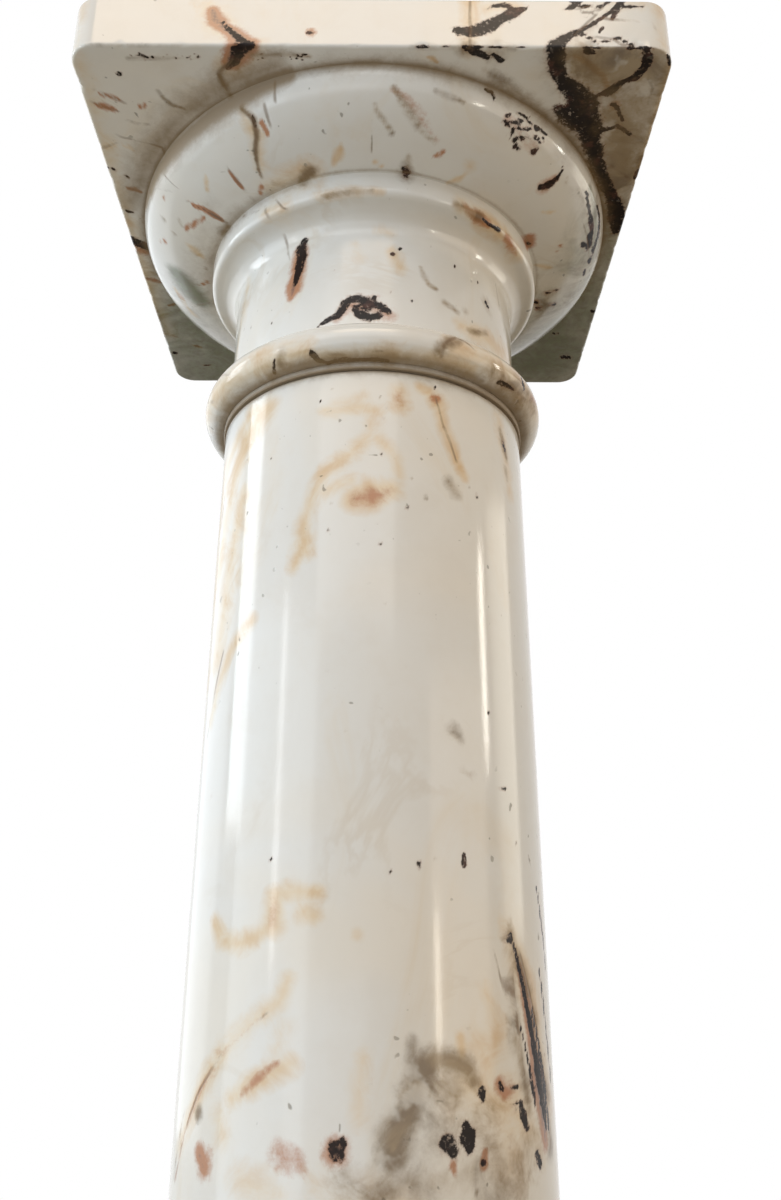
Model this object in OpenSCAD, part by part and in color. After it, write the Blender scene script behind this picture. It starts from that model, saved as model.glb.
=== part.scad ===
// Polished marble column with a smooth tapered shaft, a Roman Doric capital and a plain moulded base.
// Millimetres, +Z up. The origin is the centre of the underside of the plinth.

/* [Overall] */
// Height of the whole column, from the floor to the top of the slab
column_h = 1100; // [900:10:1400]
// Width of the square slab on the capital
slab_w = 300; // [290:5:380]
// Width of the square plinth under the base
plinth_w = 300; // [290:5:380]
// Radius of the rounded upright corners of slab and plinth
corner_r = 13; // [4:1:30]
// Radius of the softened arrises of slab and plinth
arris_r = 1.5; // [0.5:0.5:4]

/* [Shaft] */
// Radius of the shaft at its top
shaft_top_r = 83.8; // [76:0.2:95]
// Radius of the shaft at its foot
shaft_foot_r = 89; // [76:0.5:98]
// Swelling of the shaft outside a straight taper, at mid height
entasis = 0.4; // [0:0.1:3]
// Radius of the rounded edge at both ends of the shaft
shaft_edge_r = 2.5; // [0.5:0.5:6]

/* [Capital] */
// Thickness of the square slab
slab_t = 32; // [20:1:60]
// Step from the side of the slab back to the widest circle of the echinus
echinus_setback = 10; // [4:1:25]
// Height of the echinus
echinus_h = 29; // [20:1:45]
// Radius of the tight curve where the echinus turns up to the slab
echinus_edge_r = 21; // [8:1:24]
// Step from the crease under the echinus back to the face of the band
band_setback = 1.5; // [0.5:0.5:6]
// Height of the band under the echinus
band_h = 14; // [6:1:25]
// Projection of the band beyond the neck
band_out = 15.7; // [8:0.1:22]
// Radius of the rounded lower edge of the band
band_edge_r = 4; // [1:0.5:5]
// Step from the shaft's top back to the face of the neck
neck_setback = 2; // [0:0.5:8]
// Height of the neck, from the band down to the astragal
neck_h = 73.8; // [40:0.2:120]
// Section radius of the astragal, the half-round ring at the foot of the capital
astragal_r = 10.5; // [6:0.5:13]
// Projection of the astragal beyond the neck
astragal_out = 14; // [8:0.5:20]
// Height of the thin fillet under the astragal, at the joint with the shaft
lip_h = 2.8; // [1:0.2:8]
// Projection of that fillet beyond the shaft's top
lip_out = 1; // [0:0.2:4]

/* [Base] */
// Thickness of the square plinth
plinth_t = 42; // [25:1:80]
// Step from the side of the plinth back to the widest circle of the torus
torus_setback = 14; // [4:1:25]
// Height of the torus, the large half-round ring on the plinth
torus_h = 46; // [25:1:60]
// Height of the band on the torus
base_band_h = 12; // [6:1:25]
// Projection of that band beyond the collar that carries the shaft
base_band_out = 14; // [8:1:20]
// Height of the collar that carries the shaft
collar_h = 6; // [2:1:20]
// Projection of the collar beyond the shaft's foot
collar_out = 1.5; // [0:0.5:6]

/* [Hidden] */

// Segments of a full circle, and stations along the shaft and round its edges
$fn = 180;
shaft_steps = 10;
edge_steps = 6;

// Radii of the capital
neck_r = shaft_top_r - neck_setback;
band_r = neck_r + band_out;
neck_cove_r = band_out - band_edge_r;
crease_r = band_r + band_setback;
echinus_r = slab_w / 2 - echinus_setback;
astragal_centre_r = neck_r + astragal_out - astragal_r;
lip_r = shaft_top_r + lip_out;

// Heights of the capital, from the top down
slab_z = column_h - slab_t;
crease_z = slab_z - echinus_h;
band_z = crease_z - band_h;
astragal_z = band_z - neck_h - astragal_r;
lip_z = astragal_z - astragal_r;
joint_z = lip_z - lip_h;

// The echinus is a two-centred quarter oval. The tight arc stands upright at the slab, and the wide arc
// lies level at the crease. The wide radius is the one that makes the two arcs run smoothly together.
oval_run = echinus_r - crease_r;
tight_r = min(echinus_edge_r, 0.9 * oval_run, 0.9 * echinus_h);
wide_r = (pow(oval_run - tight_r, 2) + pow(echinus_h, 2) - pow(tight_r, 2)) / (2 * (echinus_h - tight_r));
tight_centre = [echinus_r - tight_r, slab_z];
wide_centre = [crease_r, crease_z + wide_r];
arc_meet_r = wide_centre[0] + (tight_centre[0] - wide_centre[0]) * wide_r / (wide_r - tight_r);

// Radii and heights of the base, from the floor up
torus_r = torus_h / 2;
torus_centre_r = plinth_w / 2 - torus_setback - torus_r;
collar_r = shaft_foot_r + collar_out;
base_band_r = collar_r + base_band_out;
torus_top_z = plinth_t + torus_h;
base_band_top_z = torus_top_z + base_band_h;
collar_z = base_band_top_z + base_band_out;
shaft_foot_z = collar_z + collar_h;
shaft_h = joint_z - shaft_foot_z;

// A stretch of a turned profile: everything from the axis out to radius r, from height z0 to z1
module ring(r, z0, z1) {
    translate([0, z0]) square([r, z1 - z0]);
}

// A round bead in a turned profile
module bead(centre_r, centre_z, section_r) {
    translate([centre_r, centre_z]) circle(section_r);
}

// A hollow quarter curve in a turned profile. It is r + size wide at height z, and narrows to r at a
// height of size above it (up = 1) or below it (up = -1).
module cove(r, z, size, up) {
    difference() {
        translate([0, up > 0 ? z : z - size]) square([r + size, size]);
        translate([r + size, z + up * size]) circle(size);
    }
}

// Section through a slab's side: width w, thickness t, both long edges rounded
module slab_section(w, t) {
    translate([0, arris_r]) square([w, t - 2 * arris_r]);
    square([w - arris_r, t]);
    translate([w - arris_r, arris_r]) circle(arris_r);
    translate([w - arris_r, t - arris_r]) circle(arris_r);
}

// Square slab standing on z = 0, with rounded upright corners and softened arrises
module square_slab(w, t) {
    flat = w / 2 - corner_r;
    for (side = [0, 90, 180, 270]) rotate(side) {
        translate([0, flat, 0]) rotate([90, 0, 0]) linear_extrude(2 * flat) slab_section(w / 2, t);
        translate([flat, flat, 0]) rotate_extrude(angle = 90) slab_section(corner_r, t);
    }
}

// Profile of the ovolo under the slab
module echinus_profile() {
    ring(crease_r, crease_z, slab_z);
    intersection() {
        translate(wide_centre) circle(wide_r);
        ring(arc_meet_r, crease_z, slab_z);
    }
    intersection() {
        translate(tight_centre) circle(tight_r);
        translate([arc_meet_r, crease_z]) square([echinus_r - arc_meet_r, echinus_h]);
    }
}

// Profile of the band under the echinus, with its rounded lower edge
module band_profile() {
    ring(band_r, band_z + band_edge_r, crease_z);
    ring(band_r - band_edge_r, band_z, crease_z);
    bead(band_r - band_edge_r, band_z + band_edge_r, band_edge_r);
}

// The capital, one block: slab, echinus, band, neck, astragal and the thin fillet at the joint
module capital() {
    color([0.90, 0.88, 0.83]) {
        translate([0, 0, slab_z]) square_slab(slab_w, slab_t);
        rotate_extrude() {
            echinus_profile();
            band_profile();
            cove(neck_r, band_z, neck_cove_r, -1);
            ring(neck_r, astragal_z, band_z);
            ring(astragal_centre_r, lip_z, astragal_z);
            bead(astragal_centre_r, astragal_z, astragal_r);
            ring(lip_r, joint_z, lip_z + lip_h);
        }
    }
}

// Radius of the shaft at a share u of its height, 0 at the foot and 1 at the top
function shaft_r(u) = shaft_foot_r + (shaft_top_r - shaft_foot_r) * u + entasis * 4 * u * (1 - u);

// Points round one rounded end of the shaft, from angle a0 to a1
function edge_points(r, z, a0, a1) = [
    for (i = [0:edge_steps]) let (a = a0 + (a1 - a0) * i / edge_steps)
        [r - shaft_edge_r + shaft_edge_r * cos(a), z + shaft_edge_r * sin(a)]
];

// The shaft, one smooth drum with a slight swelling
module shaft() {
    side = [
        for (i = [1:shaft_steps - 1]) let (u = i / shaft_steps) [shaft_r(u), shaft_foot_z + shaft_h * u]
    ];
    color([0.92, 0.89, 0.85]) rotate_extrude() polygon(concat(
        [[0, joint_z], [0, shaft_foot_z]],
        edge_points(shaft_foot_r, shaft_foot_z + shaft_edge_r, -90, 0),
        side,
        edge_points(shaft_top_r, joint_z - shaft_edge_r, 0, 90)
    ));
}

// The base, one block: plinth, torus, band and the collar that carries the shaft
module base() {
    color([0.88, 0.86, 0.81]) {
        square_slab(plinth_w, plinth_t);
        rotate_extrude() {
            ring(torus_centre_r, plinth_t / 2, torus_top_z);
            bead(torus_centre_r, plinth_t + torus_r, torus_r);
            ring(base_band_r, torus_top_z, base_band_top_z);
            cove(collar_r, base_band_top_z, base_band_out, 1);
            ring(collar_r, torus_top_z, shaft_foot_z);
        }
    }
}

base();
shaft();
capital();
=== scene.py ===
"""The looks of a polished marble column: fine meshes, veined marble, a pale floor, soft lamps and a camera.

Sizes in this file are millimetres in the column's own frame: +Z up, the origin under the middle of the
plinth, and -Y the front. Meshes are scaled to metres as they are made.
"""

import math
import random
from functools import partial, partialmethod

import bpy
import numpy as np
from mathutils import Matrix, Vector, noise

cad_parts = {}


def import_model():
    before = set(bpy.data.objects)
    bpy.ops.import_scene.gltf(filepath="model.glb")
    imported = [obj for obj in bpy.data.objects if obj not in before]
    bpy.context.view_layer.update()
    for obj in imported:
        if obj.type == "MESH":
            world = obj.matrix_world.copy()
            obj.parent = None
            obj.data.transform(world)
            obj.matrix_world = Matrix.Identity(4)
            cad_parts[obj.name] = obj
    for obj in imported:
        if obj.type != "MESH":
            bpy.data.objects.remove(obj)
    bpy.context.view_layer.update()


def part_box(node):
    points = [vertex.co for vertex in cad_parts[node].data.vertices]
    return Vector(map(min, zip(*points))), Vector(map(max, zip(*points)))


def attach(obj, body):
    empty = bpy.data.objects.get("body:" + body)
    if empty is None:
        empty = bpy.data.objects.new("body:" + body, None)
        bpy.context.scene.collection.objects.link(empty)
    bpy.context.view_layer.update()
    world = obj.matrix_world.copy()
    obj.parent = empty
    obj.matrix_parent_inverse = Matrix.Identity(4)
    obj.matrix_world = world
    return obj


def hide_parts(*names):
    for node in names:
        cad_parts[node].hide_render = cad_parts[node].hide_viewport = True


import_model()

MM = 0.001


# ---------------------------------------------------------------- sizes, mostly read from the frame

def node_box(name):
    """Lowest and highest corner of a CAD node, in millimetres."""
    low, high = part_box(name)
    return [c / MM for c in low], [c / MM for c in high]


(_, _, FOOT_Z), (SHAFT_FOOT_R, _, JOINT_Z) = node_box("shaft")
SLAB_HALF, _, COLUMN_H = node_box("capital")[1]
PLINTH_HALF = node_box("base")[1][0]

CORNER_R = 13.0
ARRIS_R = 1.5

SHAFT_TOP_R = 83.8
SHAFT_EDGE_R = 2.5
ENTASIS = 0.4

SLAB_T = 32.0
ECHINUS_R = SLAB_HALF - 10.0
ECHINUS_H = 29.0
TIGHT_R = 21.0
NECK_R = SHAFT_TOP_R - 2.0
BAND_R = NECK_R + 15.7
BAND_H = 14.0
BAND_EDGE_R = 4.0
CREASE_R = BAND_R + 1.5
ASTRAGAL_R = 10.5
ASTRAGAL_CENTRE_R = NECK_R + 14.0 - ASTRAGAL_R
LIP_R = SHAFT_TOP_R + 1.0
LIP_H = 2.8

SLAB_Z = COLUMN_H - SLAB_T
CREASE_Z = SLAB_Z - ECHINUS_H
BAND_Z = CREASE_Z - BAND_H
LIP_Z = JOINT_Z + LIP_H
ASTRAGAL_Z = LIP_Z + ASTRAGAL_R

PLINTH_T = 42.0
TORUS_R = 23.0
TORUS_CENTRE_R = PLINTH_HALF - 14.0 - TORUS_R
COLLAR_R = SHAFT_FOOT_R + 1.5
BASE_BAND_R = COLLAR_R + 14.0
BASE_BAND_H = 12.0
TORUS_TOP_Z = PLINTH_T + 2 * TORUS_R
BASE_BAND_TOP_Z = TORUS_TOP_Z + BASE_BAND_H

# Flat faces run inwards in rings as far as these radii, and then close at their middle point.
CAPITAL_HUB_R = 60.0
SHAFT_HUB_R = 50.0
PLINTH_HUB_R = 40.0
SLAB_HUB_R = 5.0

# The camera sees the shaft above this height, and the shaft's rows are finer there.
FINE_ROWS_Z = 505.0

DOWN = (0, 0, -1)


# ---------------------------------------------------------------- profiles, as (radius, height) points

def arc(centre, radius, start, end, steps):
    """Points along an arc, from angle start to end in degrees, both included."""
    angles = np.radians(np.linspace(start, end, steps + 1))
    return [(centre[0] + radius * math.cos(a), centre[1] + radius * math.sin(a)) for a in angles]


def straight(start, end, step):
    """Points from start to end, no more than step apart."""
    count = max(1, round(math.dist(start, end) / step))
    return [
        (start[0] + (end[0] - start[0]) * i / count, start[1] + (end[1] - start[1]) * i / count)
        for i in range(count + 1)
    ]


def joined(*stretches):
    """One profile from several stretches, without doubled points."""
    points = []
    for stretch in stretches:
        for p in stretch:
            if not points or math.dist(points[-1], p) > 0.05:
                points.append(p)
    return points


def echinus_arcs():
    """Centre, radius and meeting angle of the two arcs of the ovolo: the tight one and the wide one."""
    run = ECHINUS_R - CREASE_R
    wide_r = ((run - TIGHT_R) ** 2 + ECHINUS_H ** 2 - TIGHT_R ** 2) / (2 * (ECHINUS_H - TIGHT_R))
    tight_centre = (ECHINUS_R - TIGHT_R, SLAB_Z)
    wide_centre = (CREASE_R, CREASE_Z + wide_r)
    meet = math.degrees(math.atan2(tight_centre[1] - wide_centre[1], tight_centre[0] - wide_centre[0]))
    return tight_centre, wide_centre, wide_r, meet


def capital_profile():
    """The turned part of the capital, from the joint up to the slab."""
    tight_centre, wide_centre, wide_r, meet = echinus_arcs()
    top_angle = math.degrees(math.acos((NECK_R - ASTRAGAL_CENTRE_R) / ASTRAGAL_R))
    cove_r = BAND_R - BAND_EDGE_R - NECK_R
    cove_z = BAND_Z - cove_r
    neck_foot_z = ASTRAGAL_Z + ASTRAGAL_R * math.sin(math.radians(top_angle))
    return joined(
        straight((CAPITAL_HUB_R, JOINT_Z), (LIP_R - 0.4, JOINT_Z), 8),
        straight((LIP_R, JOINT_Z + 0.4), (LIP_R, LIP_Z + 0.3), 0.9),
        arc((ASTRAGAL_CENTRE_R, ASTRAGAL_Z), ASTRAGAL_R, -88, top_angle, 22),
        straight((NECK_R, neck_foot_z), (NECK_R, neck_foot_z + 0.5), 0.5),
        straight((NECK_R, neck_foot_z + 0.5), (NECK_R, cove_z), 1.9),
        arc((NECK_R + cove_r, cove_z), cove_r, 180, 90, 10),
        arc((BAND_R - BAND_EDGE_R, BAND_Z + BAND_EDGE_R), BAND_EDGE_R, -90, 0, 6),
        straight((BAND_R, BAND_Z + BAND_EDGE_R), (BAND_R, CREASE_Z), 2.0),
        straight((BAND_R, CREASE_Z), (CREASE_R, CREASE_Z), 0.8),
        arc(wide_centre, wide_r, -90, meet, 14),
        arc(tight_centre, TIGHT_R, meet, 0, 12),
    )


def shaft_radius(z):
    """Radius of the shaft at a height, with its slight swelling."""
    u = (z - FOOT_Z) / (JOINT_Z - FOOT_Z)
    return SHAFT_FOOT_R + (SHAFT_TOP_R - SHAFT_FOOT_R) * u + ENTASIS * 4 * u * (1 - u)


def shaft_profile():
    """The shaft from its foot to its top, with finer rows on the upper part."""
    low_rows = np.linspace(FOOT_Z + SHAFT_EDGE_R, FINE_ROWS_Z, 88)
    high_rows = np.linspace(FINE_ROWS_Z, JOINT_Z - SHAFT_EDGE_R, 212)
    side = [(shaft_radius(z), z) for z in [*low_rows, *high_rows]]
    foot_centre = (side[0][0] - SHAFT_EDGE_R, FOOT_Z + SHAFT_EDGE_R)
    top_centre = (side[-1][0] - SHAFT_EDGE_R, JOINT_Z - SHAFT_EDGE_R)
    return joined(
        straight((SHAFT_HUB_R, FOOT_Z), (foot_centre[0], FOOT_Z), 12),
        arc(foot_centre, SHAFT_EDGE_R, -90, 0, 5),
        side,
        arc(top_centre, SHAFT_EDGE_R, 0, 90, 5),
        straight((top_centre[0], JOINT_Z), (SHAFT_HUB_R, JOINT_Z), 12),
    )


def base_profile():
    """The turned part of the base, from the plinth up to the shaft."""
    cove_r = BASE_BAND_R - COLLAR_R
    return joined(
        arc((TORUS_CENTRE_R, PLINTH_T + TORUS_R), TORUS_R, -90, 90, 34),
        straight((TORUS_CENTRE_R, TORUS_TOP_Z), (BASE_BAND_R, TORUS_TOP_Z), 2.0),
        straight((BASE_BAND_R, TORUS_TOP_Z), (BASE_BAND_R, BASE_BAND_TOP_Z - 0.6), 2.2),
        straight((BASE_BAND_R - 0.6, BASE_BAND_TOP_Z), (BASE_BAND_R - 0.7, BASE_BAND_TOP_Z), 1),
        arc((BASE_BAND_R, BASE_BAND_TOP_Z + cove_r), cove_r, -92, -180, 14),
        straight((COLLAR_R, BASE_BAND_TOP_Z + cove_r), (COLLAR_R, FOOT_Z - 0.6), 1.5),
        straight((COLLAR_R - 0.6, FOOT_Z), (SHAFT_HUB_R, FOOT_Z), 8),
    )


# ---------------------------------------------------------------- meshes made of rings

class Turning:
    """A closed mesh of rings round the Z axis. Each ring has the same number of points, spread along the
    outline of a square slab with rounded corners, so that turned rings and square rings join cleanly."""

    def __init__(self, half, side_counts, corner_count):
        flat = half - CORNER_R
        points, normals = [], []
        for side, count in enumerate(side_counts):
            turn = Matrix.Rotation(math.pi / 2 * side, 2)
            for i in range(count):
                points.append(turn @ Vector((-flat + 2 * flat * i / count, -half)))
                normals.append(turn @ Vector((0, -1)))
            for i in range(corner_count):
                a = -math.pi / 2 + math.pi / 2 * i / corner_count
                n = Vector((math.cos(a), math.sin(a)))
                points.append(turn @ (Vector((flat, -flat)) + CORNER_R * n))
                normals.append(turn @ n)
        self.outline = np.array(points)
        self.outward = np.array(normals)
        self.spokes = self.outline / np.linalg.norm(self.outline, axis=1)[:, None]
        self.rings = []

    def _add(self, flat_points, z):
        heights = np.full((len(flat_points), 1), z)
        self.rings.append(np.hstack([flat_points, heights]))

    def round(self, profile):
        """Rings for a turned profile."""
        for r, z in profile:
            self._add(self.spokes * r, z)

    def square(self, inset, z):
        """One ring along the slab's outline, set in from it."""
        self._add(self.outline - self.outward * inset, z)

    def spread(self, r, inset, z, shares):
        """Flat rings between a circle and the slab's outline, at shares from 0 (circle) to 1 (outline)."""
        inner = self.spokes * r
        outer = self.outline - self.outward * inset
        for t in shares:
            self._add(inner + (outer - inner) * t, z)

    def slab_side(self, z0, z1, step):
        """Rings up or down the side of a slab, with a rounded arris at each end."""
        up = 1 if z1 > z0 else -1
        quarter = [math.radians(a) for a in (22, 45, 68, 90)]
        for a in quarter:
            self.square(ARRIS_R * (1 - math.sin(a)), z0 + up * ARRIS_R * (1 - math.cos(a)))
        first, last = z0 + up * (ARRIS_R + 0.7), z1 - up * (ARRIS_R + 0.7)
        for z in np.linspace(first, last, max(2, round(abs(last - first) / step))):
            self.square(0, z)
        for a in reversed(quarter):
            self.square(ARRIS_R * (1 - math.sin(a)), z1 - up * ARRIS_R * (1 - math.cos(a)))

    def mesh(self, name):
        """The finished closed mesh, in millimetres, with a point in the middle of its first and last ring."""
        count = len(self.spokes)
        points = np.vstack([*self.rings, self.rings[0].mean(0), self.rings[-1].mean(0)])
        low, high = len(points) - 2, len(points) - 1
        last = (len(self.rings) - 1) * count
        sides = [(i, (i + 1) % count) for i in range(count)]
        rows = [(start, start + count) for start in range(0, last, count)]
        faces = [(a + i, a + j, b + j, b + i) for a, b in rows for i, j in sides]
        faces += [(low, j, i) for i, j in sides]
        faces += [(high, last + i, last + j) for i, j in sides]
        made = bpy.data.meshes.new(name)
        made.from_pydata(points.tolist(), [], faces)
        made.update()
        return made


def capital_mesh():
    turning = Turning(SLAB_HALF, (190, 104, 56, 104), 12)
    turning.round(capital_profile())
    shares = np.linspace(0, 1, 30)[1:-1]
    turning.spread(ECHINUS_R, ARRIS_R + 0.7, SLAB_Z, [*shares, 1])
    turning.square(ARRIS_R, SLAB_Z)
    turning.slab_side(SLAB_Z, COLUMN_H, 2.0)
    turning.square(ARRIS_R, COLUMN_H)
    turning.spread(SLAB_HUB_R, ARRIS_R + 0.8, COLUMN_H, np.linspace(1, 0, 24))
    return turning.mesh("capital_marble")


def shaft_mesh():
    turning = Turning(SLAB_HALF, (130, 66, 36, 66), 1)
    turning.round(shaft_profile())
    return turning.mesh("shaft_marble")


def base_mesh():
    turning = Turning(PLINTH_HALF, (110, 90, 90, 90), 10)
    turning.spread(PLINTH_HUB_R, ARRIS_R + 0.8, 0, (0, 0.5, 0.85, 1))
    turning.square(ARRIS_R, 0)
    turning.slab_side(0, PLINTH_T, 3.0)
    turning.square(ARRIS_R, PLINTH_T)
    shares = np.linspace(1, 0, 12)[:-1]
    turning.spread(TORUS_CENTRE_R, ARRIS_R + 0.8, PLINTH_T, shares)
    turning.round(base_profile())
    return turning.mesh("base_marble")


# ---------------------------------------------------------------- places on the column

def turned(angle, r, z):
    """A point at a radius and height. Angle 0 faces the front, and 90 the right."""
    a = math.radians(angle)
    return (math.sin(a) * r, -math.cos(a) * r, z)


def on_side(half, side):
    """The places on one side of a square block. Side 0 is its front, and 90 its right."""
    a = math.radians(side)

    def place(u, z):
        return (u * math.cos(a) + half * math.sin(a), u * math.sin(a) - half * math.cos(a), z)

    return place


def on_slab_front(x, rise):
    """A point on the slab's front, its rise counted from the lower arris."""
    return (x, -SLAB_HALF, SLAB_Z + rise)


def under_slab(x, y):
    return (x, y, SLAB_Z)


def on_slab_top(x, y):
    return (x, y, COLUMN_H)


def on_echinus(angle, s):
    """A point on the ovolo, s along its curve from the slab down to the crease."""
    tight_centre, wide_centre, wide_r, meet = echinus_arcs()
    tight_length = TIGHT_R * math.radians(-meet)
    if s < tight_length:
        centre, r, a = tight_centre, TIGHT_R, -s / TIGHT_R
    else:
        centre, r = wide_centre, wide_r
        a = max(math.radians(meet) - (s - tight_length) / wide_r, -math.pi / 2)
    return turned(angle, centre[0] + r * math.cos(a), centre[1] + r * math.sin(a))


def on_band(angle, z):
    return turned(angle, BAND_R, z)


def on_neck(angle, z):
    cove_r = BAND_R - BAND_EDGE_R - NECK_R
    rise = min(max(z - (BAND_Z - cove_r), 0.0), cove_r)
    return turned(angle, NECK_R + cove_r - math.sqrt(cove_r ** 2 - rise ** 2), z)


def on_astragal(angle, section_angle):
    """A point on the bead. Section angle 0 is its widest line, and -90 its underside."""
    a = math.radians(section_angle)
    return turned(angle, ASTRAGAL_CENTRE_R + ASTRAGAL_R * math.cos(a), ASTRAGAL_Z + ASTRAGAL_R * math.sin(a))


def on_shaft(angle, z):
    return turned(angle, shaft_radius(z), z)


def on_torus(angle, section_angle):
    """A point on the base's torus, with section angles as on the astragal."""
    a = math.radians(section_angle)
    return turned(angle, TORUS_CENTRE_R + TORUS_R * math.cos(a), PLINTH_T + TORUS_R + TORUS_R * math.sin(a))


# ---------------------------------------------------------------- marks in the stone, and painted shade

def point_values(mesh, name):
    """One row for each point of a mesh: its place ("co") or its outward direction ("normal")."""
    flat = np.empty(len(mesh.vertices) * 3)
    mesh.vertices.foreach_get(name, flat)
    return flat.reshape(-1, 3)


class Marks:
    """Veins, stains, cracks and painted shade on one mesh, kept as values at its points. A stain's value is 1
    in its middle and fades a little past its reach. A crack is the sideways distance from its line, in half
    widths, and how far it shows."""

    FAR = 99.0          # the distance kept where no crack is near
    SHOWS = 5.0         # how far from its line a crack is kept
    MEETING = 1.5       # where two cracks meet, both fade within this
    MOST_WIDTHS = 20.0  # half widths kept at most
    PATH_STEP = 6.0     # between the points of a path on the surface
    SPREAD = {"dark": 1.22, "rust": 1.5, "ochre": 1.7, "olive": 1.6, "moss_and_shade": 1.7, "dirt_and_shade": 1.7}

    def __init__(self, mesh):
        self.mesh = mesh
        self.points = point_values(mesh, "co")
        self.normals = point_values(mesh, "normal")
        count = len(self.points)
        self.fields = {kind: np.zeros(count) for kind in self.SPREAD}
        self.nearest, self.second, self.sideways = (np.full(count, self.FAR) for _ in range(3))

    def _near(self, a, b, reach):
        low, high = np.minimum(a, b) - reach, np.maximum(a, b) + reach
        return np.flatnonzero(((self.points > low) & (self.points < high)).all(1))

    @staticmethod
    def _path(place, points):
        """The points of a path on the surface, close enough to follow its curve, each with its size."""
        path = []
        for start, end in zip(points, points[1:] or points):
            length = math.dist(place(*start[:2]), place(*end[:2]))
            steps = max(1, math.ceil(length / Marks.PATH_STEP))
            for i in range(steps + 1):
                u, v, size = (p + (q - p) * i / steps for p, q in zip(start, end))
                path.append((np.array(place(u, v)), size))
        return path

    def brushes(self, place, *kinds):
        """What draws each kind of mark on one surface: stains take (depth, *points), and cracks (*points)."""
        return [
            partial(self.crack, place) if kind == "crack" else partial(self.stain, kind, place)
            for kind in kinds
        ]

    def stain(self, kind, place, depth, *points, facing=None):
        """Points are (u, v, reach) on the surface that place gives. Facing keeps a wide stain off the faces
        that look another way."""
        spread = self.SPREAD[kind]
        path = [(p, reach * spread) for p, reach in self._path(place, points)]
        for (a, reach_a), (b, reach_b) in zip(path, path[1:]):
            picked = self._near(a, b, max(reach_a, reach_b))
            if not len(picked):
                continue
            along = b - a
            length2 = max(along @ along, 1e-9)
            t = np.clip((self.points[picked] - a) @ along / length2, 0, 1)
            away = np.linalg.norm(self.points[picked] - (a + t[:, None] * along), axis=1)
            value = depth * (1 - away / (reach_a + (reach_b - reach_a) * t))
            if facing is not None:
                value *= np.clip(1.5 * self.normals[picked] @ np.array(facing), 0, 1)
            field = self.fields[kind]
            field[picked] = np.maximum(field[picked], value)

    def crack(self, place, *points):
        """A thin line. Points are (u, v, half width)."""
        path = self._path(place, points)
        near = np.full(len(self.points), self.FAR)
        side = near.copy()
        for (a, half_a), (b, half_b) in zip(path, path[1:]):
            along = b - a
            length = np.linalg.norm(along)
            if length < 1e-6:
                continue
            picked = self._near(a, b, self.SHOWS + 1)
            if not len(picked):
                continue
            offset = self.points[picked] - a
            t = np.clip(offset @ along / length ** 2, 0, 1)
            away = np.linalg.norm(offset - t[:, None] * along, axis=1)
            across = np.cross(self.normals[picked], along / length)
            sideways = (offset * across).sum(1) / (half_a + (half_b - half_a) * t)
            better = away < near[picked]
            near[picked] = np.where(better, away, near[picked])
            side[picked] = np.where(better, sideways, side[picked])
        closer = near < self.nearest
        self.second = np.where(closer, self.nearest, np.minimum(self.second, near))
        self.nearest = np.where(closer, near, self.nearest)
        self.sideways = np.where(closer, side, self.sideways)

    def crease(self, r, z, width, depth):
        """Dirt and painted shade along a ring of the turning, where parts meet or the surface turns under."""
        away = np.hypot(np.hypot(self.points[:, 0], self.points[:, 1]) - r, self.points[:, 2] - z)
        self.fields["dirt_and_shade"] = np.maximum(self.fields["dirt_and_shade"], depth * np.exp(-away / width))

    def keep(self):
        """Stores the values on the mesh, for the material."""
        shows = np.clip(1 - self.nearest / self.SHOWS, 0, 1)
        shows *= np.clip((self.second - self.nearest) / self.MEETING, 0, 1)
        widths = np.clip(self.sideways, -self.MOST_WIDTHS, self.MOST_WIDTHS)
        values = {**self.fields, "crack": widths, "crack_shows": shows}
        for name, value in values.items():
            attribute = self.mesh.attributes.new(name, "FLOAT", "POINT")
            attribute.data.foreach_set("value", value.astype(np.float32))


def wear(mesh, chips, waviness, seed):
    """Presses small rough chips, (point, reach, depth) each, and a slight waviness into a mesh."""
    points, normals = point_values(mesh, "co"), point_values(mesh, "normal")
    shift = Vector((seed, 0, 0))
    depth = np.array([waviness * (0.5 + 0.5 * noise.noise(Vector(p) * 0.022 + shift)) for p in points])
    for centre, reach, most in chips:
        away = np.linalg.norm(points - np.array(centre), axis=1)
        for i in np.flatnonzero(away < reach * 1.3):
            rough = 1 + 0.6 * noise.noise(Vector(points[i]) * 0.9)
            depth[i] += most * max(0.0, 1 - (away[i] / (reach * rough)) ** 2) * rough
    points -= normals * depth[:, None]
    mesh.vertices.foreach_set("co", points.ravel())
    mesh.update()


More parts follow.
